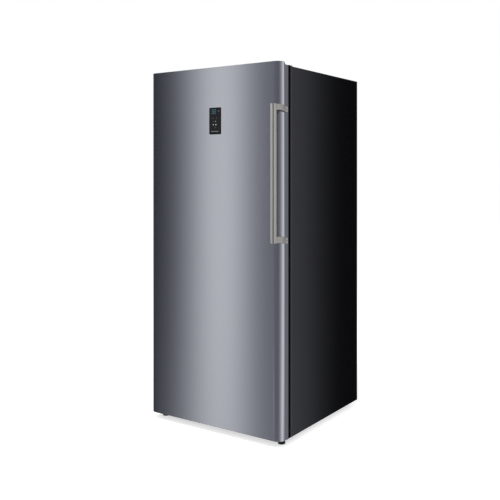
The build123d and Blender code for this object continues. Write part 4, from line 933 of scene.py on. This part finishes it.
def buildHandleMount(plan, node, name, low, high):
    turnX = doorHigh.x - plan["skinRadius"] + plan["skinGap"]
    turnY = doorLow.y + plan["skinRadius"] - plan["skinGap"]
    outerX, tailY = doorHigh.x + plan["thick"], doorLow.y + plan["tail"]

    def at(u, v, w):                 # the tail hangs a little lower than the root
        t = (v - turnY + plan["sagBefore"]) / (tailY - turnY + plan["sagLength"])
        t = min(1.0, max(0.0, t))
        return Vector((u, v, w - plan["sag"] * t * t * (3 - 2 * t)))

    bm = bmesh.new()
    softPrism(bm, at, mountOutline(plan, turnX, turnY, outerX, tailY), low, high, plan["mountEdge"])
    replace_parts(makePiece(name, bm, "door", "handle_steel", "shadedMountSteel"), node)
    bm = bmesh.new()
    for side in (-1, 1):
        place = at(outerX, tailY - plan["screwBack"], (low + high) / 2 + side * plan["screwGap"])
        screwHead(bm, placed(place, "right"), plan["screwRadius"], plan["screwHeight"], "hex")
    makePiece(name + "Screws", bm, "door", "handle_steel", "brightScrew", "recess")


def buildHandle(plan):
    buildHandleBar(plan)
    foot, height = barLow.z + plan["lift"], plan["mountHeight"]
    levels = (foot, foot + height + plan["lowerTaller"])
    buildHandleMount(plan, "handle_mount_lower", "handleMountLower", *levels)
    buildHandleMount(plan, "handle_mount_upper", "handleMountUpper", barHigh.z - height, barHigh.z)


buildHandle(handlePlan)
print("handle built")


# Interior and underside details

detailPlan = {              # metres
    "trim": {"end": 0.012, "up": 0.006, "height": 0.009, "proud": 0.0005},
    "rackStrip": {"end": 0.016, "down": 0.0035, "height": 0.0026, "proud": 0.0004},
    "lampRib": {"count": 9, "width": 0.0022, "proud": 0.0008, "rim": 0.0006, "endY": 0.008, "endX": 0.01},
    "switch": {"x": 0.12, "z": 1.505, "plunger": 0.0095, "radius": 0.0042, "collar": 0.0014,
               "base": (0.026, 0.013), "baseCorner": 0.004, "baseHeight": 0.0014, "baseEdge": 0.0005},
    "grip": {"count": 16, "radius": 0.0011, "height": 0.007, "sunk": 0.0005, "up": 0.0012},
    "root": 0.0003,         # how far a detail reaches into the part that carries it
    "stripRoot": 0.0002, "stripEdge": 0.0002, "stripRounding": 0.8,
}


def buildStrip(name, body, slot, finish, place, facing, width, strip):
    # A slim band with round ends, on the front of a shelf or the inner face of a rack.
    bm = bmesh.new()
    height = strip["height"]
    radius = height / 2 * detailPlan["stripRounding"]
    outline = roundCorners(rectangle(width, height), [radius] * 4)
    softPrism(bm, placed(place, facing), outline, -detailPlan["stripRoot"], strip["proud"],
              detailPlan["stripEdge"])
    makePiece(name, bm, body, slot, finish)


def buildStrips(trim, strip):
    for number in range(1, 5):
        low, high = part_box(f"shelf_frame_{number}")
        place = ((low.x + high.x) / 2, low.y, low.z + trim["up"] + trim["height"] / 2)
        buildStrip(f"shelfTrim{number}", f"shelf_{number}", "aluminium", "trimMetal", place, "front",
                   high.x - low.x - 2 * trim["end"], trim)
    for number in range(1, 6):
        rack = f"door_rack_{number}"
        low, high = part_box(rack)
        place = ((low.x + high.x) / 2, high.y, high.z - strip["down"])
        buildStrip(f"rackStrip{number}", rack, "clear_plastic", "frostedStrip", place, "back",
                   high.x - low.x - 2 * strip["end"], strip)


def buildLampRibs(rib):
    # Fine prisms moulded on the lens, so the lamp behind it doesn't show as a spot.
    low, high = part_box("lamp_lens")
    bm = bmesh.new()
    outline = rectangle(high.x - low.x - 2 * rib["endX"], rib["width"])
    step = (high.y - low.y - 2 * rib["endY"]) / (rib["count"] - 1)
    for k in range(rib["count"]):
        at = placed(((low.x + high.x) / 2, low.y + rib["endY"] + k * step, low.z), "under")
        prism(bm, at, outline, -detailPlan["root"], rib["proud"], rib["rim"])
    makePiece("lampRibs", bm, "cabinet", "lamp_lens", "lampLens")


def buildDoorSwitch(switch):
    low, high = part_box("inner_liner")
    at = placed((switch["x"], low.y, switch["z"]), "front")
    bm = bmesh.new()
    base = roundCorners(rectangle(*switch["base"]), [switch["baseCorner"]] * 4)
    softPrism(bm, at, base, -detailPlan["root"], switch["baseHeight"], switch["baseEdge"])
    radius, collar, reach = switch["radius"], switch["collar"], switch["plunger"]
    lathe(bm, at, [(radius + collar, 0.0012), (radius + collar, 0.0022), (radius + 0.001, 0.0026),
                   (radius, 0.0026), (radius, reach - 0.0022), (radius * 0.86, reach - 0.0009),
                   (radius * 0.5, reach - 0.0002), (0, reach)], 28)
    makePiece("doorSwitch", bm, "cabinet", "white_liner", "whitePart")


def buildFootGrips(grip):
    # Ridges round each levelling foot, for turning it by hand.
    radius, height = grip["radius"], grip["height"]
    ridge = [(0, 0), (radius, 0.0004), (radius, height - 0.0008), (0, height)]
    for side in ("left", "right"):
        low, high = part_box("front_foot_" + side)
        middle, reach = (low + high) / 2, (high.x - low.x) / 2 - grip["sunk"]
        bm = bmesh.new()
        for k in range(grip["count"]):
            x, y = polar(reach, 360 * k / grip["count"])
            lathe(bm, placed((middle.x + x, middle.y + y, low.z + grip["up"]), "top"), ridge, 8)
        makePiece("footGrip" + side.title(), bm, "front_foot_" + side, "foot_plastic", "footPlastic")


buildStrips(detailPlan["trim"], detailPlan["rackStrip"])
buildLampRibs(detailPlan["lampRib"])
buildDoorSwitch(detailPlan["switch"])
buildFootGrips(detailPlan["grip"])
print("details added")


# Studio: pale floor, white surround, a tent whose brightness changes round the object, soft lamps

tent = {
    "radius": 30.0, "sides": 180, "low": -40.0, "high": 45.0, "ceiling": 0.12, "ground": 0.3,
    "cool": 0.16, "coolShares": (-1.0, -0.6, 0.4),      # darker parts turn this much bluer
    "sideTint": (1.0, 0.965, 0.96), "tintFrom": -33,
    "stops": [              # heading in degrees from straight in front, positive towards +X; brightness
        (-180, 0.5), (-155, 0.1), (-60, 0.1), (-42.5, 0.025), (-41, 0.1), (-40, 0.22), (-39, 0.52),
        (-38, 0.98), (-37, 1.28), (-36, 1.28), (-35, 0.98), (-34, 0.49), (-32.8, 0.22), (-30, 0.29),
        (30, 0.24), (50, 0.33), (64, 0.44), (78, 0.66), (90, 0.84), (104, 1.12), (118, 1.2),
        (134, 0.95), (146, 0.42), (148.7, 0.285), (149.5, 0.187), (150.0, 0.137), (150.6, 0.092),
        (151.1, 0.054), (151.65, 0.03), (152.2, 0.0125), (152.7, 0.004), (180, 0.5),
    ],
}
fill = {"radius": 27.0, "strength": 0.55}
paper = {"size": 28.0, "color": (0.8, 0.8, 0.8, 1), "roughness": 0.9, "lift": 0.6}
lampPlan = {                # place, aim, width and height in metres, watts
    "softboxTop": ((-0.6, -1.2, 3.4), (0, 0, 0.6), (2.4, 2.4), 60),
    "softboxFront": ((1.2, -3.2, 1.8), (0, 0, 0.8), (1.8, 2.4), 45),
    "softboxSide": ((2.6, -0.6, 2.3), (0.3, -0.3, 1.3), (0.8, 0.8), 10),
}


def stageObject(name, bm, material):
    mesh = bpy.data.meshes.new(name)
    bm.to_mesh(mesh)
    bm.free()
    mesh.materials.append(material)
    obj = bpy.data.objects.new(name, mesh)
    bpy.context.collection.objects.link(obj)
    return obj


def hideFrom(obj, *rays):
    for ray in rays:
        setattr(obj, "visible_" + ray, False)


def seenDirectly(tree):
    # High for the camera and for what it sees in mirrors and through glass.
    path = tree.nodes.new("ShaderNodeLightPath")
    mirrored = sums(tree, "MAXIMUM", path.outputs["Is Glossy Ray"], path.outputs["Is Transmission Ray"])
    return sums(tree, "MAXIMUM", path.outputs["Is Camera Ray"], mirrored)


def tentColor(plan, degrees, level):
    shade = plan["cool"] * max(0.0, 1 - level)
    tint = plan["sideTint"] if degrees > plan["tintFrom"] else (1, 1, 1)
    return (*[level * (1 + share * shade) * t for share, t in zip(plan["coolShares"], tint)], 1)


def makeTent(plan):
    # A tall closed cylinder that only reflections see.
    bm = bmesh.new()
    count = plan["sides"]
    around = [polar(plan["radius"], 360 * i / count) for i in range(count)]
    rings = [[bm.verts.new((v, -u, z)) for u, v in around] for z in (plan["low"], plan["high"])]
    joinRings(bm, rings[0], rings[1])
    bm.faces.new(rings[0])
    bm.faces.new(rings[1])
    material, tree, emission = newTree("tentLight", "ShaderNodeEmission")
    place = splitVector(tree, objectPlace(tree))
    angle = sums(tree, "ARCTAN2", place["X"], sums(tree, "MULTIPLY", place["Y"], -1.0))
    turn = sums(tree, "ADD", sums(tree, "DIVIDE", angle, 2 * math.pi), 0.5)
    ramp = tree.nodes.new("ShaderNodeValToRGB")
    elements = ramp.color_ramp.elements
    while len(elements) < len(plan["stops"]):
        elements.new(0.5)
    for element, (degrees, level) in zip(elements, plan["stops"]):
        element.position = degrees / 360 + 0.5
        element.color = tentColor(plan, degrees, level)
    tree.links.new(turn, ramp.inputs["Fac"])
    color = ramp.outputs["Color"]
    for side, edge, level in (("GREATER_THAN", plan["high"] - 0.01, plan["ceiling"]),
                              ("LESS_THAN", plan["low"] + 0.01, plan["ground"])):
        color = mixColor(tree, sums(tree, side, place["Z"], edge), color, (level, level, level, 1))
    tree.links.new(color, emission.inputs["Color"])
    hideFrom(stageObject("tent", bm, material), "camera", "diffuse", "shadow", "transmission")


def makeFillDome(plan):
    # Even light on dull surfaces; mirrors, glass and the camera don't see it.
    bm = bmesh.new()
    bmesh.ops.create_icosphere(bm, subdivisions=3, radius=plan["radius"])
    material, tree, emission = newTree("fillLight", "ShaderNodeEmission")
    emission.inputs["Strength"].default_value = plan["strength"]
    hideFrom(stageObject("fillDome", bm, material), "camera", "glossy", "transmission", "shadow")


def makeFloor(plan):
    bm = bmesh.new()
    bm.faces.new([bm.verts.new((x, y, 0)) for x, y in rectangle(plan["size"], plan["size"])])
    material, tree, shader = newTree("floorPaper", "ShaderNodeBsdfPrincipled")
    setInputs(shader, {"Base Color": plan["color"], "Roughness": plan["roughness"],
                       "Specular IOR Level": 0.0, "Emission Color": (1, 1, 1, 1)})
    lift = sums(tree, "MULTIPLY", seenDirectly(tree), plan["lift"])
    tree.links.new(lift, shader.inputs["Emission Strength"])
    hideFrom(stageObject("floor", bm, material), "glossy")


def makeWorld():
    world = bpy.data.worlds.new("studio")
    bpy.context.scene.world = world
    world.use_nodes = True
    tree = world.node_tree
    tree.nodes.clear()
    output = tree.nodes.new("ShaderNodeOutputWorld")
    background = tree.nodes.new("ShaderNodeBackground")
    background.inputs["Color"].default_value = (1, 1, 1, 1)
    tree.links.new(seenDirectly(tree), background.inputs["Strength"])
    tree.links.new(background.outputs[0], output.inputs["Surface"])


def makeLamps(plan):
    for name, (location, target, size, power) in plan.items():
        data = bpy.data.lights.new(name, "AREA")
        data.shape = "RECTANGLE"
        data.size, data.size_y = size
        data.energy = power
        lamp = bpy.data.objects.new(name, data)
        lamp.location = location
        lamp.rotation_euler = (Vector(target) - Vector(location)).to_track_quat("-Z", "Y").to_euler()
        hideFrom(lamp, "camera", "glossy")
        bpy.context.collection.objects.link(lamp)


makeFloor(paper)
makeTent(tent)
makeFillDome(fill)
makeWorld()
makeLamps(lampPlan)
print("studio ready")
